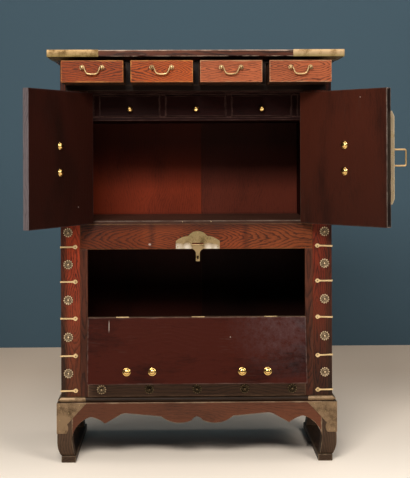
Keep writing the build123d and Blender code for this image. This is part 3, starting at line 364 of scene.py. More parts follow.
# %% Yearly rings
def late_wood(tree, grain, span, chance, noise, ring, depth, slope):
    """How much late wood shows at each point, from 0 to 1. ring, depth and grain are in millimetres."""
    shift = add(tree, "VectorMath", [noise["wander"].outputs["Color"], (30, 34, 0), (-15, -17, 0)],
                operation="MULTIPLY_ADD")
    bent = add(tree, "VectorMath", [grain, shift], operation="ADD")
    sideways, inwards, along = add(tree, "SeparateXYZ", [bent]).outputs
    # The heart of the log lies up to two fifths of the board's half width off its middle.
    offset = add(tree, "Math", [chance[0], 0.8, -0.4], operation="MULTIPLY_ADD")
    middle = add(tree, "Math", [offset, add(tree, "SeparateXYZ", [span])], operation="MULTIPLY")
    across = add(tree, "Math", [sideways, middle], operation="SUBTRACT")
    # It rises towards one end or the other, and swells by up to 60 mm where the trunk was thicker.
    sign = add(tree, "Math", [chance[1], 0.5], operation="SUBTRACT")
    rise = add(tree, "Math", [sign], operation="SIGN")
    climb = add(tree, "Math", [rise, slope], operation="MULTIPLY")
    tilt = add(tree, "Math", [along, climb, depth], operation="MULTIPLY_ADD")
    swollen = add(tree, "Math", [noise["swell"], 60, tilt], operation="MULTIPLY_ADD")
    under = add(tree, "Math", [swollen, inwards], operation="ADD")
    flat = add(tree, "CombineXYZ", [across, under])
    # Half round and half straight: the arches of elm come to a soft point.
    round_arch = add(tree, "VectorMath", [flat], operation="LENGTH").outputs["Value"]
    sides = add(tree, "VectorMath", [flat], operation="ABSOLUTE")
    straight_arch = add(tree, "VectorMath", [sides, (0.9, 1, 0)], operation="DOT_PRODUCT").outputs["Value"]
    radius = add(tree, "Math", [round_arch, straight_arch], operation="ADD")
    radius = add(tree, "Math", [radius, 0.5], operation="MULTIPLY")
    jagged = add(tree, "Math", [noise["feather"], 5.0, radius], operation="MULTIPLY_ADD")
    years = add(tree, "Math", [jagged, ring], operation="DIVIDE")
    year = add(tree, "Math", [years], operation="FRACT")
    return add(tree, "ValToRGB", [year],
               stops=[(0.0, 0.30), (0.12, 0.0), (0.55, 0.16), (0.80, 0.85), (0.93, 1.0), (1.0, 0.30)])


# %% Wear at the edges
def bare_wood(tree, grain, span, rub, wear):
    """How far the finish has gone, from 0 to 1, by how near the next edge is."""
    # The smallest of the three distances is the face itself, so the second one tells.
    near = add(tree, "VectorMath", [grain], operation="ABSOLUTE")
    inset = add(tree, "VectorMath", [span, near], operation="SUBTRACT")
    x, y, z = add(tree, "SeparateXYZ", [inset]).outputs
    low_xy = add(tree, "Math", [x, y], operation="MINIMUM")
    high_xy = add(tree, "Math", [x, y], operation="MAXIMUM")
    low_z = add(tree, "Math", [high_xy, z], operation="MINIMUM")
    second = add(tree, "Math", [low_xy, low_z], operation="MAXIMUM")
    ragged = add(tree, "Math", [rub, -9.0, 4.5], operation="MULTIPLY_ADD")
    edge = add(tree, "Math", [second, ragged], operation="ADD")
    bare = add(tree, "MapRange", [edge, 0.2, 3.4, wear, 0.0])
    # The eased edges themselves, which also follow a sawn curve, are rubbed pale wherever the patches allow: worn, and
    # also a painted highlight of the light that a rounded edge catches.
    eased = add(tree, "Attribute", {}, attribute_name="eased").outputs["Fac"]
    patches = add(tree, "MapRange", [rub, 0.42, 0.58, 0.0, 1.6 * wear])
    eased = add(tree, "Math", [eased, patches], operation="MULTIPLY", use_clamp=True)
    return add(tree, "Math", [bare, eased], operation="MAXIMUM")


# %% Marks in one place: grey bloom and painted sheen, knocks and chips
def laid(tree, colour, layers):
    """Lays shades over a colour, each (amount, shade)."""
    for amount, shade in layers:
        colour = add(tree, "Mix", {0: amount, 6: colour, 7: linear(shade)}, data_type="RGBA").outputs[2]
    return colour


def marks(tree, spot, bloom_and_sheen, knocks, chips):
    """The layers that the marks give. Places and sizes are in metres on the chest."""
    layers = []
    if bloom_and_sheen:
        # A grey haze in patches round one spot: partly a bloom that damp left in the finish, partly a painted sheen of
        # reflected light.
        centre, reach, amount = bloom_and_sheen
        far = add(tree, "VectorMath", [spot, centre], operation="DISTANCE").outputs["Value"]
        fade = add(tree, "MapRange", [far, 0.0, reach, amount, 0.0])
        cloud = add(tree, "TexNoise", {"Vector": spot, "Scale": 55, "Detail": 7, "Roughness": 0.8})
        cloud = add(tree, "MapRange", [cloud, 0.35, 0.7])
        layers.append((add(tree, "Math", [fade, cloud], operation="MULTIPLY"), "#85797e"))
    for centre, size in knocks:
        # A dent, or a scratch that has gone through the finish.
        away = add(tree, "VectorMath", [spot, centre], operation="SUBTRACT")
        away = add(tree, "VectorMath", [away, size], operation="DIVIDE")
        away = add(tree, "VectorMath", [away], operation="LENGTH").outputs["Value"]
        layers.append((add(tree, "MapRange", [away, 0.6, 1.1, 0.55, 0.0]), "#b7a79e"))
    if chips:
        # Chips are spots up to 4 mm wide, where a knock has broken the finish.
        cell = add(tree, "TexVoronoi", {"Vector": spot, "Scale": 18})
        small = add(tree, "Math", [cell.outputs["Distance"], 0.035], operation="LESS_THAN")
        few = add(tree, "Math", [cell.outputs["Color"], 0.62], operation="GREATER_THAN")
        both = add(tree, "Math", [small, few], operation="MULTIPLY")
        layers.append((add(tree, "Math", [both, chips], operation="MULTIPLY"), "#c8b8ac"))
    return layers


# %% Wood finish
LOG = (700, 700, 5000)  # millimetres of trunk that boards come from


def weighed(tree, total, *causes):
    """Adds causes to a total, each (cause, share)."""
    for cause, share in causes:
        total = add(tree, "Math", [cause, share, total], operation="MULTIPLY_ADD")
    return total


def tone_along(tree, spot, axis, stops):
    """A tone that changes along one axis. stops are (metres, grey or colour)."""
    low, high = stops[0][0], stops[-1][0]
    way = add(tree, "SeparateXYZ", [spot]).outputs[axis]
    way = add(tree, "MapRange", [way, low, high])
    return add(tree, "ValToRGB", [way], stops=[((q - low) / (high - low), tone) for q, tone in stops])


def wood(name, pale, dark, worn, ring=9, line=0.7, blotch=0.35, wear=0.5, gloss=0.42, depth=28, slope=0.05,
         scuffs=0.0, coat=0.02, shine=0.16, shade=(), bloom_and_sheen=None, chips=0.0, knocks=()):
    """Oiled wood. pale and dark are early and late wood, worn is the bare edge, and ring is in millimetres."""
    material = bpy.data.materials.new(name)
    tree = emptied(material)
    grain, span, place = [add(tree, "Attribute", {}, attribute_name=title).outputs["Vector"]
                          for title in ("grain", "span", "place")]
    chance = add(tree, "SeparateXYZ", [place]).outputs
    noise = grain_noise(tree, add(tree, "VectorMath", [place, LOG, grain], operation="MULTIPLY_ADD"))
    late = late_wood(tree, grain, span, chance, noise, ring, depth, slope)
    bare = bare_wood(tree, grain, span, noise["rub"], wear)
    pore = add(tree, "ValToRGB", [noise["pore"]], stops=[(0.58, 0.0), (0.68, 1.0)])

    # Everything that darkens the wood is added up, and the sum picks the colour.
    total = weighed(tree, -0.05, (late, line), (noise["fibre"], 0.55), (noise["stain"], 2 * blotch), (pore, 0.35))
    even = add(tree, "Math", [total, 0.22 + blotch], operation="SUBTRACT", use_clamp=True)
    wooden = add(tree, "Mix", {0: even, 6: linear(pale), 7: linear(dark)}, data_type="RGBA").outputs[2]
    lift = add(tree, "Math", [chance[2], 0.3, 0.85], operation="MULTIPLY_ADD")
    tinted = add(tree, "VectorMath", {0: wooden, "Scale": lift}, operation="SCALE")
    # Soot, sun and dust change a board slowly from one side of the chest to the other.
    spot = add(tree, "TexCoord", {}).outputs["Object"]
    for axis, stops in shade:
        tinted = add(tree, "VectorMath", [tinted, tone_along(tree, spot, axis, stops)], operation="MULTIPLY")
    # Bare edges, then scuffs: short pale strokes in patches.
    both = add(tree, "Math", [noise["stroke"], noise["patch"]], operation="MULTIPLY")
    scuff = add(tree, "MapRange", [both, 0.37, 0.43, 0.0, scuffs])
    marked = laid(tree, tinted, [(bare, worn), (scuff, worn)] + marks(tree, spot, bloom_and_sheen, knocks, chips))

    # Late wood is polished harder than early wood, and stains and scuffs are duller.
    dull = weighed(tree, gloss - 0.16, (noise["fibre"], 0.25), (noise["stain"], 0.14), (bare, 0.2))
    relief = weighed(tree, late, (noise["fibre"], 0.5), (pore, -0.8))
    bump = add(tree, "Bump", {"Height": relief, "Distance": 0.12 * MM, "Strength": 0.7})
    surface = add(tree, "BsdfPrincipled", {"Base Color": marked, "Roughness": dull, "Normal": bump, "Coat Weight": coat,
                                           "Coat Roughness": 0.28, "Specular IOR Level": shine})
    add(tree, "OutputMaterial", {"Surface": surface})
    return material


# %% [markdown]
# ## The woods of this chest
# Its maker kept the best figured elm for the drawer fronts, plainer elm for the rails and uprights, and cheap
# boards for what nobody sees. A rubbed stain made all of it red-brown. Painted shade darkens the inside and the
# lower part of the top's edge, a painted highlight runs along its upper arris, the left is warmer and the foot
# greyer. So the pieces share one way of growing, and differ in their colours, in how wide their rings are, and
# in where they are worn.

# %% Elm of the front
# Stained elm of the uprights and sides: its rings show as dark arches. It is darker towards the outer corners and
# towards the foot, warmer on the left and cooler on the right.
elm_upright = wood("stained_elm_upright", "#6d2c17", "#110302", "#633e27", ring=5.6, line=0.6, depth=4, slope=0.12,
                   blotch=1.1, wear=0.12, chips=0.5,
                   shade=[("Z", [(0.2, (0.27, 0.62, 0.78, 1)), (0.38, (0.45, 0.71, 0.84, 1)), (0.60, 1.0),
                                 (0.70, 0.85)]),
                          ("X", [(-0.406, 0.4), (-0.396, (0.45, 0.52, 0.5, 1)), (-0.384, (1.75, 1.3, 1.15, 1)),
                                 (0.384, (0.95, 0.7, 0.62, 1)), (0.396, 0.45), (0.406, 0.4)])])
# Three veneers meet in the middle rail, and dirt has gathered along the two joints. Along its top it is painted darker,
# as shade, and its left end is darker and redder.
elm_rail = wood("stained_elm_rail", "#6e3013", "#150401", "#694a29", ring=5.4, line=0.62, depth=0, slope=0.24,
                blotch=1.0, wear=0.35, chips=0.6,
                knocks=[((-0.140, -0.202, 0.651), (0.0045, 0.02, 0.0035))],
                shade=[("X", [(-0.35, (0.56, 0.5, 0.34, 1)), (-0.17, (0.72, 0.66, 0.52, 1)), (-0.148, 0.9),
                              (-0.134, 0.5), (-0.12, 0.95), (0.134, 1.15), (0.148, 0.6),
                              (0.162, (1.15, 1.3, 1.35, 1)), (0.35, (1.08, 1.25, 1.3, 1))]),
                       ("Z", [(0.636, 0.9), (0.645, 1.05), (0.690, 1.05), (0.708, 0.45)])])
# Strips of other stock, straighter and browner.
elm_strip = wood("stained_elm_strip", "#492315", "#160704", "#5e3e2e", ring=8, depth=20, blotch=0.5, wear=0.25)
# The drawer fronts are the best figured pieces, and a lighter, redder orange. The two on the left are darker.
FIGURED = dict(ring=5, line=0.8, depth=-14, slope=0.26, blotch=0.6, wear=0.6)
elm_drawer = wood("figured_elm_drawer", "#964e2e", "#280b04", "#9c785a", **FIGURED)
elm_drawer_deep = wood("figured_elm_drawer_deep", "#8a3b12", "#200601", "#af7641", **FIGURED,
                       shade=[("X", [(-0.21, (0.84, 0.8, 0.58, 1)), (-0.2, (1.1, 1.13, 0.97, 1))])])
print("elm finishes:", sum("elm" in m.name for m in bpy.data.materials))

# %% Veneer of the flaps, and the back
# Doors and the drop front are veneered inside with a dark red wood, rubbed smooth and scuffed by use.
VENEER = dict(ring=9, depth=60, slope=0.02, chips=0.3)
red_door = wood("dark_red_door_wood", "#36160d", "#0e0503", "#443d36", line=0.14, blotch=1.5, scuffs=0.1, wear=0.3,
                shade=[("Z", [(0.75, 0.82), (1.0, 1.15)])], **VENEER)
# The left door's copy is painted darker, as shade: less light falls on its inner face.
red_door_painted_shade = wood("red_door_wood_painted_shade", "#240c07", "#0c0402", "#392f2f", line=0.12, blotch=1.3, scuffs=0.05,
                     wear=0.4, shine=0.12, shade=[("Z", [(0.75, 0.75), (1.0, 0.97)])], **VENEER)
# The drop front lies under hands and damp: it has gone flat, with a long scratch and, at one corner, a grey haze that
# is partly bloom and partly a painted sheen.
red_drop = wood("dark_red_drop_wood", "#330f07", "#0d0201", "#5e4e48", line=0.1, blotch=2.2, scuffs=0.1, wear=0.42,
                gloss=0.5, coat=0.0, shine=0.05, bloom_and_sheen=((0.28, -0.24, 0.43), 0.2, 0.2),
                knocks=[((-0.261, -0.231, 0.411), (0.0014, 0.03, 0.018))], **VENEER)
# The back is mahogany-red, straight in the grain and less worn. It is painted darker towards the top, as shade under
# the cupboard's shelf, and it is darker still below the cupboard's floor.
BACK = dict(ring=6, line=0.2, blotch=0.9, depth=60, slope=0.1, wear=0.1, gloss=0.5, coat=0.0, shine=0.1,
            shade=[("Z", [(0.55, 0.14), (0.71, 0.2), (0.73, 0.9), (0.80, 1.0), (0.88, 0.6), (0.96, 0.25)])])
red_back = wood("red_back_board", "#7e2c13", "#2f0b03", "#533726", **BACK)
dim_back = wood("dim_back_board", "#592315", "#1f0804", "#442e24", **BACK)

# %% Wood inside, and of the doors' edges
# Plain wood of the drawers' boxes and of the back's outside was never finished for show: rough, with no coat.
ROUGH = dict(ring=9, line=0.45, depth=40, gloss=0.6, wear=0.2, coat=0.0)
plain_inside = wood("plain_inside_wood", "#7a5236", "#4c2f1e", "#94745a", **ROUGH)
# A darker copy: on the drawers' boxes it is painted shade under the drawn drawers, and on the back's side towards the
# wall it is that side's plain dark wood.
dark_plain_and_painted_shade = wood("plain_wood_dark_and_painted_shade", "#38241a", "#170d08", "#6b5140", shine=0.08, **ROUGH)
# The cupboard's floor is scratched grey by what was put there. The board below it is only dark.
CALM = dict(ring=7, line=0.4, depth=60, gloss=0.5)
floor_wood = wood("cupboard_floor_wood", "#41281e", "#160c07", "#6c5c51", wear=0.6,
                  shade=[("Z", [(0.6, 0.3), (0.68, 0.3), (0.70, 1.0)])], **CALM)
# The small cabinet, its drawer fronts and the deck over it are stained dark red and painted almost black as shade
# inside the cupboard, so that only edges show.
stained_and_shaded_inside = wood("inside_wood_stain_and_painted_shade", "#190302", "#080101", "#523c37", wear=0.42, coat=0.0, shine=0.06, **CALM)
# The free edge of the left door is painted pale grey, a painted highlight where the light falls on it. The right one's
# is black.
EDGE = dict(ring=7, line=0.3, blotch=0.6, depth=60)
pale_lit_door_edge = wood("door_edge_wood_painted_light", "#5b5356", "#221d1e", "#615b5e", wear=0.2, coat=0.0, **EDGE)
black_edge = wood("black_door_edge_wood", "#170d0b", "#090504", "#8d8078", chips=0.8, **EDGE)

# %% Wood of the stand and the top
# The legs, the runners and the lower panel are stained dark, and dulled by floor dust.
DARK = dict(ring=8, line=0.5, depth=30)
dark_stand = wood("dark_stand_wood", "#453224", "#150e08", "#685845", ring=8, line=0.55, depth=30, gloss=0.5,
                  blotch=0.8, shade=[("X", [(-0.4, 1.08), (0.4, 0.84)])])
# Along its foot, below the hanging drop front, the lower panel is painted lighter to make up for the drop front's
# shadow; higher up it is darker.
lower_wood = wood("lower_panel_wood", "#4d3526", "#1c110a", "#816550", gloss=0.5,
                  shade=[("Z", [(0.22, 1.0), (0.235, 0.95), (0.26, 0.5)])], **DARK)
# The frame under the case is stained nearly black, and the one round the top drawers is nearly black as well.
dark_frame = wood("dark_frame_wood", "#28190e", "#0a0502", "#37291d", wear=0.6, gloss=0.45, **DARK)
black_frame = wood("black_frame_wood", "#170c08", "#080302", "#4a382c", wear=0.3, gloss=0.45, shine=0.1, **DARK)
# The aprons are redder, with a pale line along their sawn curve: worn, and also a painted highlight where the edge
# catches the light. They are lighter towards the right.
red_apron = wood("red_apron_wood", "#56301f", "#190d07", "#9a886f", ring=6, line=0.3, depth=10, slope=0.1,
                 blotch=1.0, wear=0.45, shade=[("X", [(-0.3, 0.88), (0.0, 0.95), (0.2, 1.15)])])
# The top is what everything is put down on: scuffed, chipped and bare along its edge, and these pale marks also stand
# in for glints. Its edge is painted as if rounded: a painted highlight along the upper arris, and painted shade towards
# the bottom.
dark_top = wood("dark_top_wood", "#4a2718", "#180904", "#b79c88", line=0.6, depth=30, blotch=1.2, scuffs=0.7,
                wear=0.85, chips=0.9, gloss=0.36,
                shade=[("Z", [(1.205, (0.5, 0.42, 0.4, 1)), (1.215, (1.0, 0.75, 0.65, 1)), (1.228, 1.5),
                              (1.231, 1.2)])])
print("finishes so far, with the stage's two paints:", len(bpy.data.materials))

# %% [markdown]
# ## Brass
# Sheet brass is an alloy of copper and zinc, rolled, cut and filed by hand. In the open it turns brown and
# flat, first in the hollows, while fingers keep the handles and studs bright. Metal has no colour of its own
# apart from what it reflects, so the finish is in the reflection: its tint, and how rough it is from place to
# place. Noise in three sizes gives clouds of tarnish, fine pitting and the small dents of hammer and use.

# %% Brass finish
def brass(name, bright, tarnish, amount, rough, dent=0.05, cloud=35, crest=None, painted_glints=(), shade=()):
    """Aged brass. amount is how much the tarnish covers, cloud its patches' size in mm, crest the rubbed rims,
    and tinned gives spots (metres) of painted glint: pale, as where the floor's light is reflected."""
    material = bpy.data.materials.new(name)
    tree = emptied(material)
    place = add(tree, "TexCoord", {}).outputs["Object"]
    patch = add(tree, "TexNoise", {"Vector": place, "Scale": 1 / (cloud * MM), "Detail": 6, "Roughness": 0.6})
    pit = add(tree, "TexNoise", {"Vector": place, "Scale": 1 / (2.5 * MM), "Detail": 3})
    blend = add(tree, "Math", [pit, 0.35, patch], operation="MULTIPLY_ADD")
    cover = add(tree, "MapRange", [blend, 0.88 - 0.5 * amount, 1.02 - 0.3 * amount])
    layers = [(cover, tarnish)]
    if crest:
        layers.append((add(tree, "Attribute", {}, attribute_name="crest").outputs["Fac"], crest))
    tint = laid(tree, linear(bright), layers)
    for axis, stops in shade:
        tint = add(tree, "Mix", {0: 1.0, 6: tint, 7: tone_along(tree, place, axis, stops)}, data_type="RGBA",
                   blend_type="MULTIPLY").outputs[2]
    # Each spot is a painted glint, a pale reflection of the floor's light.
    for centre, reach in painted_glints:
        far = add(tree, "VectorMath", [place, centre], operation="DISTANCE").outputs["Value"]
        ragged = add(tree, "Math", [patch, -0.03, far], operation="MULTIPLY_ADD")
        tint = laid(tree, tint, [(add(tree, "MapRange", [ragged, reach - 0.014, reach - 0.026]), "#c9bfb2")])
    haze = add(tree, "MapRange", {0: cover, 3: rough, 4: min(rough + 0.28, 0.85)})
    fine = add(tree, "Math", [pit, 0.12, haze], operation="MULTIPLY_ADD")
    wave = add(tree, "TexNoise", {"Vector": place, "Scale": 1 / (14 * MM), "Detail": 1})
    height = add(tree, "Math", [pit, 0.12, wave], operation="MULTIPLY_ADD")
    bump = add(tree, "Bump", {"Height": height, "Distance": dent * MM, "Strength": 0.8})
    surface = add(tree, "BsdfPrincipled", {"Base Color": tint, "Metallic": 1.0, "Roughness": fine, "Normal": bump})
    add(tree, "OutputMaterial", {"Surface": surface})
    return material


# Cast brass that hands keep bright: the flaps' bails, posts and studs, the knobs and the doors' hinges.
bright_brass = brass("handled_cast_brass", "#dcb672", "#7c5c2c", 0.3, 0.15)
# The drawers' handles and the lock bails are thinner, and duller than the studs.
handle_brass = brass("dull_handle_brass", "#c0a276", "#6f583c", 0.45, 0.34)
# Rolled sheet of the straps, of the doors' plates and of the top's corners, rubbed pale.
pale_sheet = brass("rubbed_sheet_brass", "#e6cb9c", "#b0966c", 0.4, 0.36, dent=0.4)
door_sheet = brass("rubbed_door_plate_brass", "#d6c3a3", "#b09a75", 0.45, 0.5, dent=0.4)
# The top's corner caps are painted as if rounded: a painted highlight along the upper edge and painted shade towards
# the lower one. They are darker on the left.
cap_sheet = brass("rubbed_cap_brass", "#a48962", "#7e653f", 0.45, 0.44, dent=0.4,
                  shade=[("Z", [(1.205, 0.4), (1.213, (0.62, 0.66, 0.5, 1)), (1.222, 1.0), (1.229, 1.45)]),
                         ("X", [(-0.3, 0.72), (0.3, (1.0, 1.04, 1.2, 1))])])
# Thick sheet of the hasp and the other hinges, grey-gold and even. The lock plate also has painted glints near its
# foot, and is darker and greyer towards its top.
lock_sheet = brass("dull_lock_sheet_brass", "#998361", "#705d40", 0.45, 0.42, dent=0.3)
plate_sheet = brass("lock_sheet_brass_painted_glints", "#998361", "#705d40", 0.45, 0.42, dent=0.3,
                    painted_glints=[((x, -0.204, 0.640), 0.0145) for x in (-0.052, -0.026, 0.036, 0.058)],
                    shade=[("Z", [(0.64, 1.0), (0.70, (0.72, 0.78, 0.7, 1))])])
# Sheet on the stand, and the straps' nails, browned by floor dust and damp.
brown_sheet = brass("browned_sheet_brass", "#8b745b", "#5f4d39", 0.5, 0.45, dent=0.4)
# Stamped rosettes, tarnished in their hollows and rubbed on their crests. The lower row is painted darker, as shade
# under the drop front.
stamped_brass = brass("tarnished_stamped_brass", "#5e5040", "#352a20", 0.5, 0.42, cloud=12, crest="#ccb595")
lower_stamped_painted_shade = brass("stamped_brass_painted_shade", "#3c3227", "#241c15", 0.6, 0.55, cloud=12, crest="#85745a")
print("brass finishes:", sum("brass" in m.name for m in bpy.data.materials))

# %% [markdown]
# ## The case and the stand
# Each wooden part is dressed with its own boards' grain: upright in the stiles and sides, lengthwise in the
# rails. The narrow strips beside the openings come from other stock and are darker than the stiles.

# %% Boards of the case and the stand
# Each row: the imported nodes, the piece's slot, the finishes of its solids in their order, and its edges in mm.
BOARDS = {
    "top_board_eased": (["top_board"], "case_wood", [dark_top], 1.5),
    "side_panels_eased": (["side_panel_left", "side_panel_right"], "case_wood", [elm_upright], 1.2),
    "stiles_eased": (["stile_left", "stile_right"], "front_wood", [elm_upright, elm_strip, elm_strip] * 2, 1.2),
    "middle_rail_eased": (["middle_rail"], "front_wood", [elm_rail], 1.5),
    "lower_panel_eased": (["lower_panel"], "front_wood", [lower_wood], 1.2),
    "drawer_frame_eased": (["drawer_frame"], "front_wood", [black_frame], 1),
    "drawer_deck_eased": (["drawer_deck"], "inside_wood", [stained_and_shaded_inside], 1.2),
    "back_boards_eased": (["back_panel"], "inside_wood", [red_back, dim_back], 1.2),
    "floors_eased": (["cupboard_floor", "bottom_board"], "inside_wood", [floor_wood], 1.2),
    "inner_cabinet_eased": (["inner_cabinet"], "inside_wood", [stained_and_shaded_inside], 1),
    "stand_frame_eased": (["stand_frame"], "stand_wood", [dark_frame], 1.5),
    "aprons_eased": (["aprons"], "stand_wood", [red_apron], 1.5),
    "legs_eased": (["legs"], "stand_wood", [dark_stand], 2),
    "runners_eased": (["runners"], "stand_wood", [dark_stand], 2),
}
boards = {name: dressed(name, nodes, "case", finishes, ease)
          for name, (nodes, slot_name, finishes, ease) in BOARDS.items()}
# The back's side towards the wall is plain wood.
back = boards["back_boards_eased"].data
back.materials.append(dark_plain_and_painted_shade)
for polygon in back.polygons:
    if polygon.normal.y > 0.5:
        polygon.material_index = 2
print("boards of the case and the stand:", sum(len(boards_of(node)) for row in BOARDS.values() for node in row[0]))

# %% Drawers
for i in range(1, 5):
    dressed(f"top_drawer_{i}_eased", [f"top_drawer_{i}"], f"top_drawer_{i}",
            [elm_drawer_deep if i < 3 else elm_drawer, dark_plain_and_painted_shade], ease=1.3)
for i in range(1, 4):
    dressed(f"inner_drawer_{i}_eased", [f"inner_drawer_{i}"], f"inner_drawer_{i}",
            [stained_and_shaded_inside, plain_inside], ease=1.2)


# %% Doors and drop front, which hang open
def turned_axes(degrees, axis):
    """The square axes of a flap that is swung open."""
    swing = Matrix.Rotation(math.radians(degrees), 3, axis)
    return tuple(swing @ a for a in SQUARE)


LEFT_AXES, RIGHT_AXES, DROP_AXES = turned_axes(-118.5, "Z"), turned_axes(131.5, "Z"), turned_axes(168, "X")
# From a flap's hinge to its free edge, and from its outside to its inside.
left_x, right_x, drop_x = LEFT_AXES[0], -RIGHT_AXES[0], DROP_AXES[2]
left_in, right_in, drop_in = LEFT_AXES[1], RIGHT_AXES[1], DROP_AXES[1]

left = dressed("left_door_eased", ["left_door"], "left_door", [red_door_painted_shade], axes=LEFT_AXES)
right = dressed("right_door_eased", ["right_door"], "right_door", [red_door], axes=RIGHT_AXES)
for door, edge, free_way in ((left, pale_lit_door_edge, left_x), (right, black_edge, right_x)):
    door.data.materials.append(edge)
    for polygon in door.data.polygons:
        if polygon.normal.dot(free_way) > 0.8:
            polygon.material_index = 1
dressed("drop_front_eased", ["drop_front"], "drop_front", [red_drop], axes=DROP_AXES)
print("free edge of the left door points to", [round(c, 2) for c in left_x])

# %% [markdown]
# ## Brass fittings
# The hinge leaves, posts, plates and caps are filed sheet and castings: their own solids are right, and only
# want an eased edge. Handles, studs and knobs are round, so each is drawn again as a line that a lathe or a
# bent wire would follow, with many more steps than a drawing needs.

# %% Ease the edges of the sheet and the castings
def filed(name, node, body, finish, ease=0.35):
    """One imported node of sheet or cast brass, with its edges filed."""
    return dressed(name, [node], body, [finish], ease=ease, sharp=40)


filed("top_caps_filed", "top_corner_caps", "case", cap_sheet)
filed("stand_brasses_filed", "stand_brasses", "case", brown_sheet)
filed("lock_plate_filed", "lock_plate", "case", plate_sheet)
filed("hasp_filed", "hasp", "hasp", lock_sheet)
filed("case_hinges_filed", "case_hinge_leaves", "case", lock_sheet)
filed("drop_hinges_filed", "drop_front_hinge_leaves", "drop_front", lock_sheet)
filed("staple_filed", "drop_front_staple", "drop_front", lock_sheet)
for side in ("left", "right"):
    filed(f"{side}_hinges_filed", f"{side}_door_hinge_leaves", f"{side}_door", bright_brass)
    filed(f"{side}_plate_filed", f"{side}_door_plate", f"{side}_door", door_sheet, ease=0.5)


# %% Lathe and bent wire
def seat(origin, across, out):
    """A place on the wood: x across the board, z out of it, origin in millimetres."""
    out, across = Vector(out).normalized(), Vector(across).normalized()
    axes = Matrix((across, out.cross(across), out)).transposed().to_4x4()
    return Matrix.Translation(Vector(origin) * MM) @ axes


def lathed(solid, where, profile, steps=36):
    """Turns a profile of (radius, height) points, in millimetres, about the z axis of a seat."""
    rings = []
    for radius, height in profile:
        count = steps if radius else 1
        rings.append([solid.verts.new(where @ (Vector((radius * math.cos(math.tau * k / steps),
                                                       radius * math.sin(math.tau * k / steps), height)) * MM))
                      for k in range(count)])
    for low, high in zip(rings, rings[1:]):
        for k in range(steps):
            corners = [low[k % len(low)], low[(k + 1) % len(low)], high[(k + 1) % len(high)], high[k % len(high)]]
            corners = list(dict.fromkeys(corners))
            if len(corners) > 2:
                solid.faces.new(corners)


def skinned(solid, rings):
    """Lays faces round a row of rings, each with as many points, and closes both ends."""
    for low, high in zip(rings, rings[1:]):
        for k in range(len(low)):
            ahead = (k + 1) % len(low)
            solid.faces.new([low[k], low[ahead], high[ahead], high[k]])
    solid.faces.new(rings[0][::-1])
    solid.faces.new(rings[-1])


def smooth_path(points, steps=8):
    """A smooth curve through points, by Catmull and Rom's rule."""
    points = [Vector(q) for q in points]
    ends = [2 * points[0] - points[1]] + points + [2 * points[-1] - points[-2]]
    curve = []
    for a, b, c, d in zip(ends, ends[1:], ends[2:], ends[3:]):
        for k in range(steps):
            t = k / steps
            curve.append(0.5 * (2 * b + (c - a) * t + (2 * a - 5 * b + 4 * c - d) * t * t
                                + (3 * b - a - 3 * c + d) * t ** 3))
    return curve + [points[-1]]


def bent(solid, where, points, radii, steps=14):
    """A round wire along points (x, y) of a seat. radii gives its thickness at the ends and in the middle."""
    route = smooth_path([(x, y, 0) for x, y in points])
    rings = []
    for i, spot in enumerate(route):
        ahead = (route[min(i + 1, len(route) - 1)] - route[max(i - 1, 0)]).normalized()
        flank = ahead.cross(Vector((0, 0, 1)))
        part = abs(2 * i / (len(route) - 1) - 1)
        radius = radii[1] + (radii[0] - radii[1]) * part ** 2
        rings.append([solid.verts.new(where @ ((spot + radius * (flank * math.cos(a) + Vector((0, 0, math.sin(a)))))
                                               * MM)) for a in [math.tau * k / steps for k in range(steps)]])
    skinned(solid, rings)


def closed_mesh(name, solid, sharp=40):
    """A mesh from a bmesh, its faces outwards, crisp where it turns by more than sharp degrees."""
    bmesh.ops.recalc_face_normals(solid, faces=solid.faces[:])
    mesh = bpy.data.meshes.new(name)
    solid.to_mesh(mesh)
    solid.free()
    mesh.shade_smooth()
    mesh.set_sharp_from_angle(angle=math.radians(sharp))
    return mesh


def settled(name, solid, body, slot_name, finish, *nodes):
    """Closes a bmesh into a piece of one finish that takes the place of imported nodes."""
    mesh = closed_mesh(name, solid)
    mesh.materials.append(finish)
    return fitted(placed(name, mesh), body, nodes)


print("points on a curve through three:", len(smooth_path([(0, 0, 0), (1, 1, 0), (2, 0, 0)])))


# %% Bails of the drawers
def whole_bail(half_outline):
    """A bail from half its outline (along, down): out of one head, down in an S, across, and up again."""
    return [(-x, y) for x, y in half_outline] + half_outline[::-1]


DRAWER_BAIL = whole_bail([(32, 0), (27.5, 0), (23.5, 1.5), (20.8, 6), (18.6, 12), (14.5, 17.2), (7, 19.6)])
FLAP_BAIL = whole_bail([(41, 0), (36, 0), (31.5, 1.5), (28, 7), (25.5, 14), (20.5, 19.4), (9, 21.6)])


def hang_bail(name, node, outline, where, radii, finish):
    """Bends a bail in a seat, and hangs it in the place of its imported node."""
    rod = bmesh.new()
    bent(rod, where, outline, radii)
    settled(name, rod, node, "bright_brass", finish, node)


DRAWER_PITCH = 200.75
BAIL_Y, BAIL_Z = -338, 1172  # where the bails turn, on the drawers as they stand drawn out
for i in range(1, 5):
    place = seat(((i - 2.5) * DRAWER_PITCH, BAIL_Y, BAIL_Z), (1, 0, 0), (0, 1, 0))
    hang_bail(f"drawer_bail_{i}_bent", f"top_drawer_bail_{i}", DRAWER_BAIL, place, (1.7, 2.4), handle_brass)
    filed(f"drawer_posts_{i}_filed", f"top_drawer_posts_{i}", f"top_drawer_{i}", handle_brass)
print("a drawer's bail hangs down", max(y for _, y in DRAWER_BAIL), "mm")

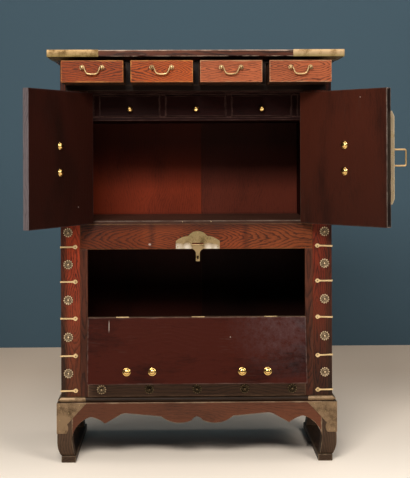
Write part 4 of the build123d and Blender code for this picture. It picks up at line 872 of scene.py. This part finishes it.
# %% Posts, bails and studs of the doors and the drop front
STUD = [(0, 0), (12, 0), (12, 0.9), (11, 1.9), (9.4, 2.3), (8.8, 3.2), (7.9, 5.0), (5.8, 6.4), (3, 6.9), (0, 7)]
POST_REACH = 37.75  # half the way between the two posts of a bail
FRONT = -200  # the case's front, where closed flaps lie
PIN_OUT = 4  # hinge pins lie this far before it
BAIL_OUT = 6  # and the bails turn this far before the pins


def flap_fittings(flap, pin, along, out, reach, thickness, posts_at, bails):
    """The posts, bails and inner studs of one flap. posts_at are offsets along its hinge."""
    middle, along, out = Vector(pin) + reach, Vector(along), Vector(out)
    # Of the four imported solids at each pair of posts, the last two are the studs, which are turned anew.
    kept = [n for k in range(len(posts_at)) for n in (4 * k, 4 * k + 1)]
    piece = dressed(f"{flap}_posts_filed", [f"{flap}_posts"], flap, [bright_brass], ease=0.35,
                    sharp=40, chosen_solids=kept)
    whole = bmesh.new()
    whole.from_mesh(piece.data)
    for offset in posts_at:
        for step in (-POST_REACH, POST_REACH):
            centre = middle + along * (offset + step) + out * (PIN_OUT + thickness)
            lathed(whole, seat(centre, along, out), STUD)
    bmesh.ops.recalc_face_normals(whole, faces=whole.faces[:])
    whole.to_mesh(piece.data)
    whole.free()
    piece.data.shade_smooth()
    piece.data.set_sharp_from_angle(angle=math.radians(40))
    for offset, (node, across, inward) in zip(posts_at, bails):
        hang_bail(f"{node}_bent", node, FLAP_BAIL, seat(middle + along * offset - out * BAIL_OUT, across, inward),
                  (1.9, 2.7), bright_brass)


PIN_Y = FRONT - PIN_OUT
flap_fittings("left_door", (-326.5, PIN_Y, 908.25), (0, 0, 1), left_in, left_x * 172, 19, [0],
              [("left_door_bail", (0, 0, 1), left_in)])
flap_fittings("right_door", (326.5, PIN_Y, 908.25), (0, 0, 1), right_in, right_x * 172, 19, [0],
              [("right_door_bail", (0, 0, -1), right_in)])
flap_fittings("drop_front", (0, PIN_Y, 433), (1, 0, 0), drop_in, drop_x * 160.5, 18, [-170.5, 170.5],
              [(f"drop_front_bail_{side}", (1, 0, 0), (0, 1, 0)) for side in ("left", "right")])
print("a stud is", 2 * max(radius for radius, _ in STUD), "mm wide")

# %% Knobs
KNOB = [(0, 0), (5.5, 0), (5.5, 0.8), (3.7, 1.6), (3.5, 4), (5.5, 5.6), (8.6, 8.4), (9.4, 11), (8.9, 13.6), (7, 16.2),
        (4.4, 17.7), (3.6, 17.5), (2.6, 18.2), (0, 18.5)]
INNER_PITCH = 200
INNER_Y, INNER_Z = -160, 1058.5  # the middle of the small drawers' fronts
for i in range(1, 4):
    knob = bmesh.new()
    lathed(knob, seat(((i - 2) * INNER_PITCH, INNER_Y, INNER_Z), (1, 0, 0), (0, -1, 0)), KNOB)
    settled(f"knob_{i}_turned", knob, f"inner_drawer_{i}", "bright_brass", bright_brass, f"inner_drawer_knob_{i}")
print("a knob stands out", KNOB[-1][1], "mm")

# %% [markdown]
# ## Straps, rosettes and nails
# The same stamping is nailed on again and again, so one is made and Geometry Nodes puts a copy on every point
# of a list. Each point carries its own turn, and a little wobble is added, because a hammer never sets two
# alike. The copies are then made real, since the piece has to be plain mesh.

# %% Copy one pattern to many points
def pattern_tree():
    """A tree that sets a pattern on each point, turned as the point says and a little more by chance."""
    tree = bpy.data.node_groups.new("copies_on_points", "GeometryNodeTree")
    for name, kind, way in (("Points", "Geometry", "INPUT"), ("Pattern", "Object", "INPUT"),
                            ("Finish", "Material", "INPUT"), ("Wobble", "Vector", "INPUT"), ("Seed", "Int", "INPUT"),
                            ("Copies", "Geometry", "OUTPUT")):
        tree.interface.new_socket(name, in_out=way, socket_type="NodeSocket" + kind)
    given = add(tree, "NodeGroupInput", {}).outputs
    pattern = add(tree, "GeometryNodeObjectInfo", {"Object": given["Pattern"]}).outputs["Geometry"]
    turn = add(tree, "GeometryNodeInputNamedAttribute", {"Name": "turn"}, data_type="FLOAT_VECTOR")
    low = add(tree, "VectorMath", {0: given["Wobble"], "Scale": -1.0}, operation="SCALE")
    chance = add(tree, "FunctionNodeRandomValue", {0: low, 1: given["Wobble"], "Seed": given["Seed"]},
                 data_type="FLOAT_VECTOR")
    base = add(tree, "FunctionNodeEulerToRotation", [turn])
    wobble = add(tree, "FunctionNodeEulerToRotation", [chance])
    turned = add(tree, "FunctionNodeRotateRotation", [base, wobble], rotation_space="LOCAL")
    copies = add(tree, "GeometryNodeInstanceOnPoints", {"Points": given["Points"], "Instance": pattern,
                                                        "Rotation": turned})
    real = add(tree, "GeometryNodeRealizeInstances", [copies])
    done = add(tree, "GeometryNodeSetMaterial", {"Geometry": real, "Material": given["Finish"]})
    add(tree, "NodeGroupOutput", [done])
    return tree


COPIES = pattern_tree()
SEED = 3


def copied(name, pattern, places, finish, wobble, slot_name, *nodes):
    """Nails the pattern's mesh to the case at places, each (point in mm, turn in degrees), as one plain piece."""
    mesh = bpy.data.meshes.new(name + "_points")
    mesh.from_pydata([Vector(point) * MM for point, _ in places], [], [])
    turns = mesh.attributes.new("turn", "FLOAT_VECTOR", "POINT")
    turns.data.foreach_set("vector", [math.radians(a) for _, turn in places for a in turn])
    piece, source = placed(name, mesh), placed(name + "_pattern", pattern)
    modifier = piece.modifiers.new("copies", "NODES")
    modifier.node_group = COPIES
    values = {"Pattern": source, "Finish": finish, "Wobble": [math.radians(a) for a in wobble], "Seed": SEED}
    for item in COPIES.interface.items_tree:
        if item.in_out == "INPUT" and item.name in values:
            modifier[item.identifier] = values[item.name]
    bpy.context.view_layer.update()
    plain = bpy.data.meshes.new_from_object(piece.evaluated_get(bpy.context.evaluated_depsgraph_get()))
    piece.modifiers.clear()
    piece.data = plain
    bpy.data.objects.remove(source)
    return fitted(piece, "case", nodes)


print("inputs of a row of copies:", [item.name for item in COPIES.interface.items_tree if item.in_out == "INPUT"])

# %% Corner straps: two arms with a spade-shaped end, each held by a nail
HALF_ARM = [(-2, 2.5), (30, 2.2), (36, 2.5), (38.4, 4.4), (41, 6.2), (44.5, 6.6), (47.6, 5.0), (49.6, 2.3)]
ARM = HALF_ARM + [(51.2, 0)] + [(x, -y) for x, y in HALF_ARM[::-1]]
SPADE_MIDDLE = 44  # where the end of an arm is widest, and where it is filed towards
CORNER_X = 406.5  # half the width of the case
STRAP_Z = [213.5, 318, 430.5, 540, 644, 732, 839.5, 947, 1054.5]


def arm(solid, where):
    """One arm, 2 mm thick, with its top edge filed down."""
    rings = []
    for shrink, height in ((1, 0), (1, 1.5), (0.94, 2.0)):
        outline = [(x * shrink + SPADE_MIDDLE * (1 - shrink), y * shrink, height) for x, y in ARM]
        rings.append([solid.verts.new(where @ (Vector(point) * MM)) for point in outline])
    skinned(solid, rings)


strap = bmesh.new()
arm(strap, seat((0, 0, 0), (1, 0, 0), (0, -1, 0)))
arm(strap, seat((0, 0, 0), (0, 1, 0), (-1, 0, 0)))
corners = [((side * CORNER_X, FRONT, z), (0, 0 if side < 0 else 180, 0)) for side in (-1, 1) for z in STRAP_Z]
copied("corner_straps_nailed", closed_mesh("strap", strap, 35), corners, pale_sheet, (0, 2.6, 0), "bright_brass",
       "corner_straps")
print("corner straps:", len(corners))

# %% Rosettes: twelve petals round a boss
# Each ring: its share of the radius, its height, how far petals rise there, and how far it is rubbed bright.
ROSETTE = [(1.0, 0.0, 0.0, 0.0), (1.0, 1.0, 0.3, 0.2), (0.93, 1.7, 0.8, 1.0), (0.80, 1.9, 0.7, 0.9),
           (0.66, 1.3, 0.4, 0.2), (0.56, 0.8, 0.0, 0.0), (0.50, 1.9, 0.0, 0.5), (0.44, 2.0, 0.0, 0.5),
           (0.38, 1.0, 0.0, 0.0), (0.31, 3.2, 0.0, 0.2), (0.22, 4.9, 0.0, 0.6), (0.11, 5.8, 0.0, 1.0)]
PETALS, PETAL_EDGE = 12, 0.6  # rings above this share of the radius are part of the petals


def rosette_pattern(steps=96):
    """Rings of points from the rim to the boss, raised and pushed out along each petal's middle."""
    solid = bmesh.new()
    crest = solid.verts.layers.float.new("crest")
    rings = []
    for part, height, rise, rubbed in ROSETTE:
        ring = []
        for k in range(steps):
            angle = math.tau * k / steps
            petal = (0.5 + 0.5 * math.cos(PETALS * angle)) ** 0.6
            radius = (12.4 + 2.5 * petal if part > PETAL_EDGE else 14) * part
            point = Vector((radius * math.cos(angle), radius * math.sin(angle), height + rise * petal)) * MM
            ring.append(solid.verts.new(point))
            ring[-1][crest] = rubbed * (petal if part > PETAL_EDGE else 1)
        rings.append(ring)
    skinned(solid, rings)
    return closed_mesh("rosette", solid, 60)


FACING = (90, 0, 0)  # turns a pattern's top towards the viewer
SIDE_X, LOWER_Z, LOWER_PITCH = 384.5, 217.5, 143
rosette = rosette_pattern()
sides = [((side * SIDE_X, FRONT, (low + high) / 2), FACING) for side in (-1, 1)
         for low, high in zip(STRAP_Z, STRAP_Z[1:])]
lower = [((LOWER_PITCH * i, FRONT, LOWER_Z), FACING) for i in range(-2, 3)]
# The lower row is painted darker as shade under the drop front, all but its first one, which goes with those of the
# sides.
copied("side_rosettes_stamped", rosette, sides + lower[:1], stamped_brass, (0, 0, 15), "aged_brass", "rosettes")
copied("lower_rosettes_stamped", rosette, lower[1:], lower_stamped_painted_shade, (0, 0, 15), "aged_brass")
print("rosettes:", len(sides + lower))

# %% Nails, whose heads lie on the face of what they hold
nail = bmesh.new()
lathed(nail, Matrix(), [(0, 0), (2.0, 0), (1.8, 0.5), (1.1, 0.9), (0, 1.1)], steps=16)
nail = closed_mesh("nail", nail, 35)
STRAP_NAIL_X, STRAP_FACE = 363, -202
PLATE_X, PLATE_FACE, PLATE_FOOT = 4, -201.2, 637.5
STAND_X, STAND_FACE, STAND_TOP = 417.5, -212.7, 180
STOP_FACE, STOP_Z = -179.1, 717
strap_nails = [((side * STRAP_NAIL_X, STRAP_FACE, z), FACING) for side in (-1, 1) for z in STRAP_Z]
plate_nails = [((PLATE_X + x, PLATE_FACE, PLATE_FOOT + z), FACING)
               for x, z in ((-60, 6), (60, 6), (-50, 27), (50, 27), (0, 47))]
plate_nails += [((side * (STAND_X - x), STAND_FACE, STAND_TOP - z), FACING) for side in (-1, 1)
                for x, z in ((7, 9), (66, 7), (34, 30), (7, 52), (21, 84), (7, 84))]
stop_nails = [((x, STOP_FACE, STOP_Z), FACING) for x in (-41.7, 45)]
copied("strap_nails", nail, strap_nails, brown_sheet, (0, 0, 0), "aged_brass")
copied("plate_nails", nail, plate_nails, lock_sheet, (0, 0, 0), "aged_brass")
copied("stop_nails", nail, stop_nails, pale_sheet, (0, 0, 0), "bright_brass")
print("nails:", len(strap_nails + plate_nails + stop_nails))

# %% Wire of the lock bails, which is round enough as it is packed
for side in ("left", "right"):
    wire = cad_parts[f"{side}_lock_bail"]
    wire.data.materials.clear()
    wire.data.materials.append(handle_brass)
print("finish of the lock bails:", handle_brass.name)
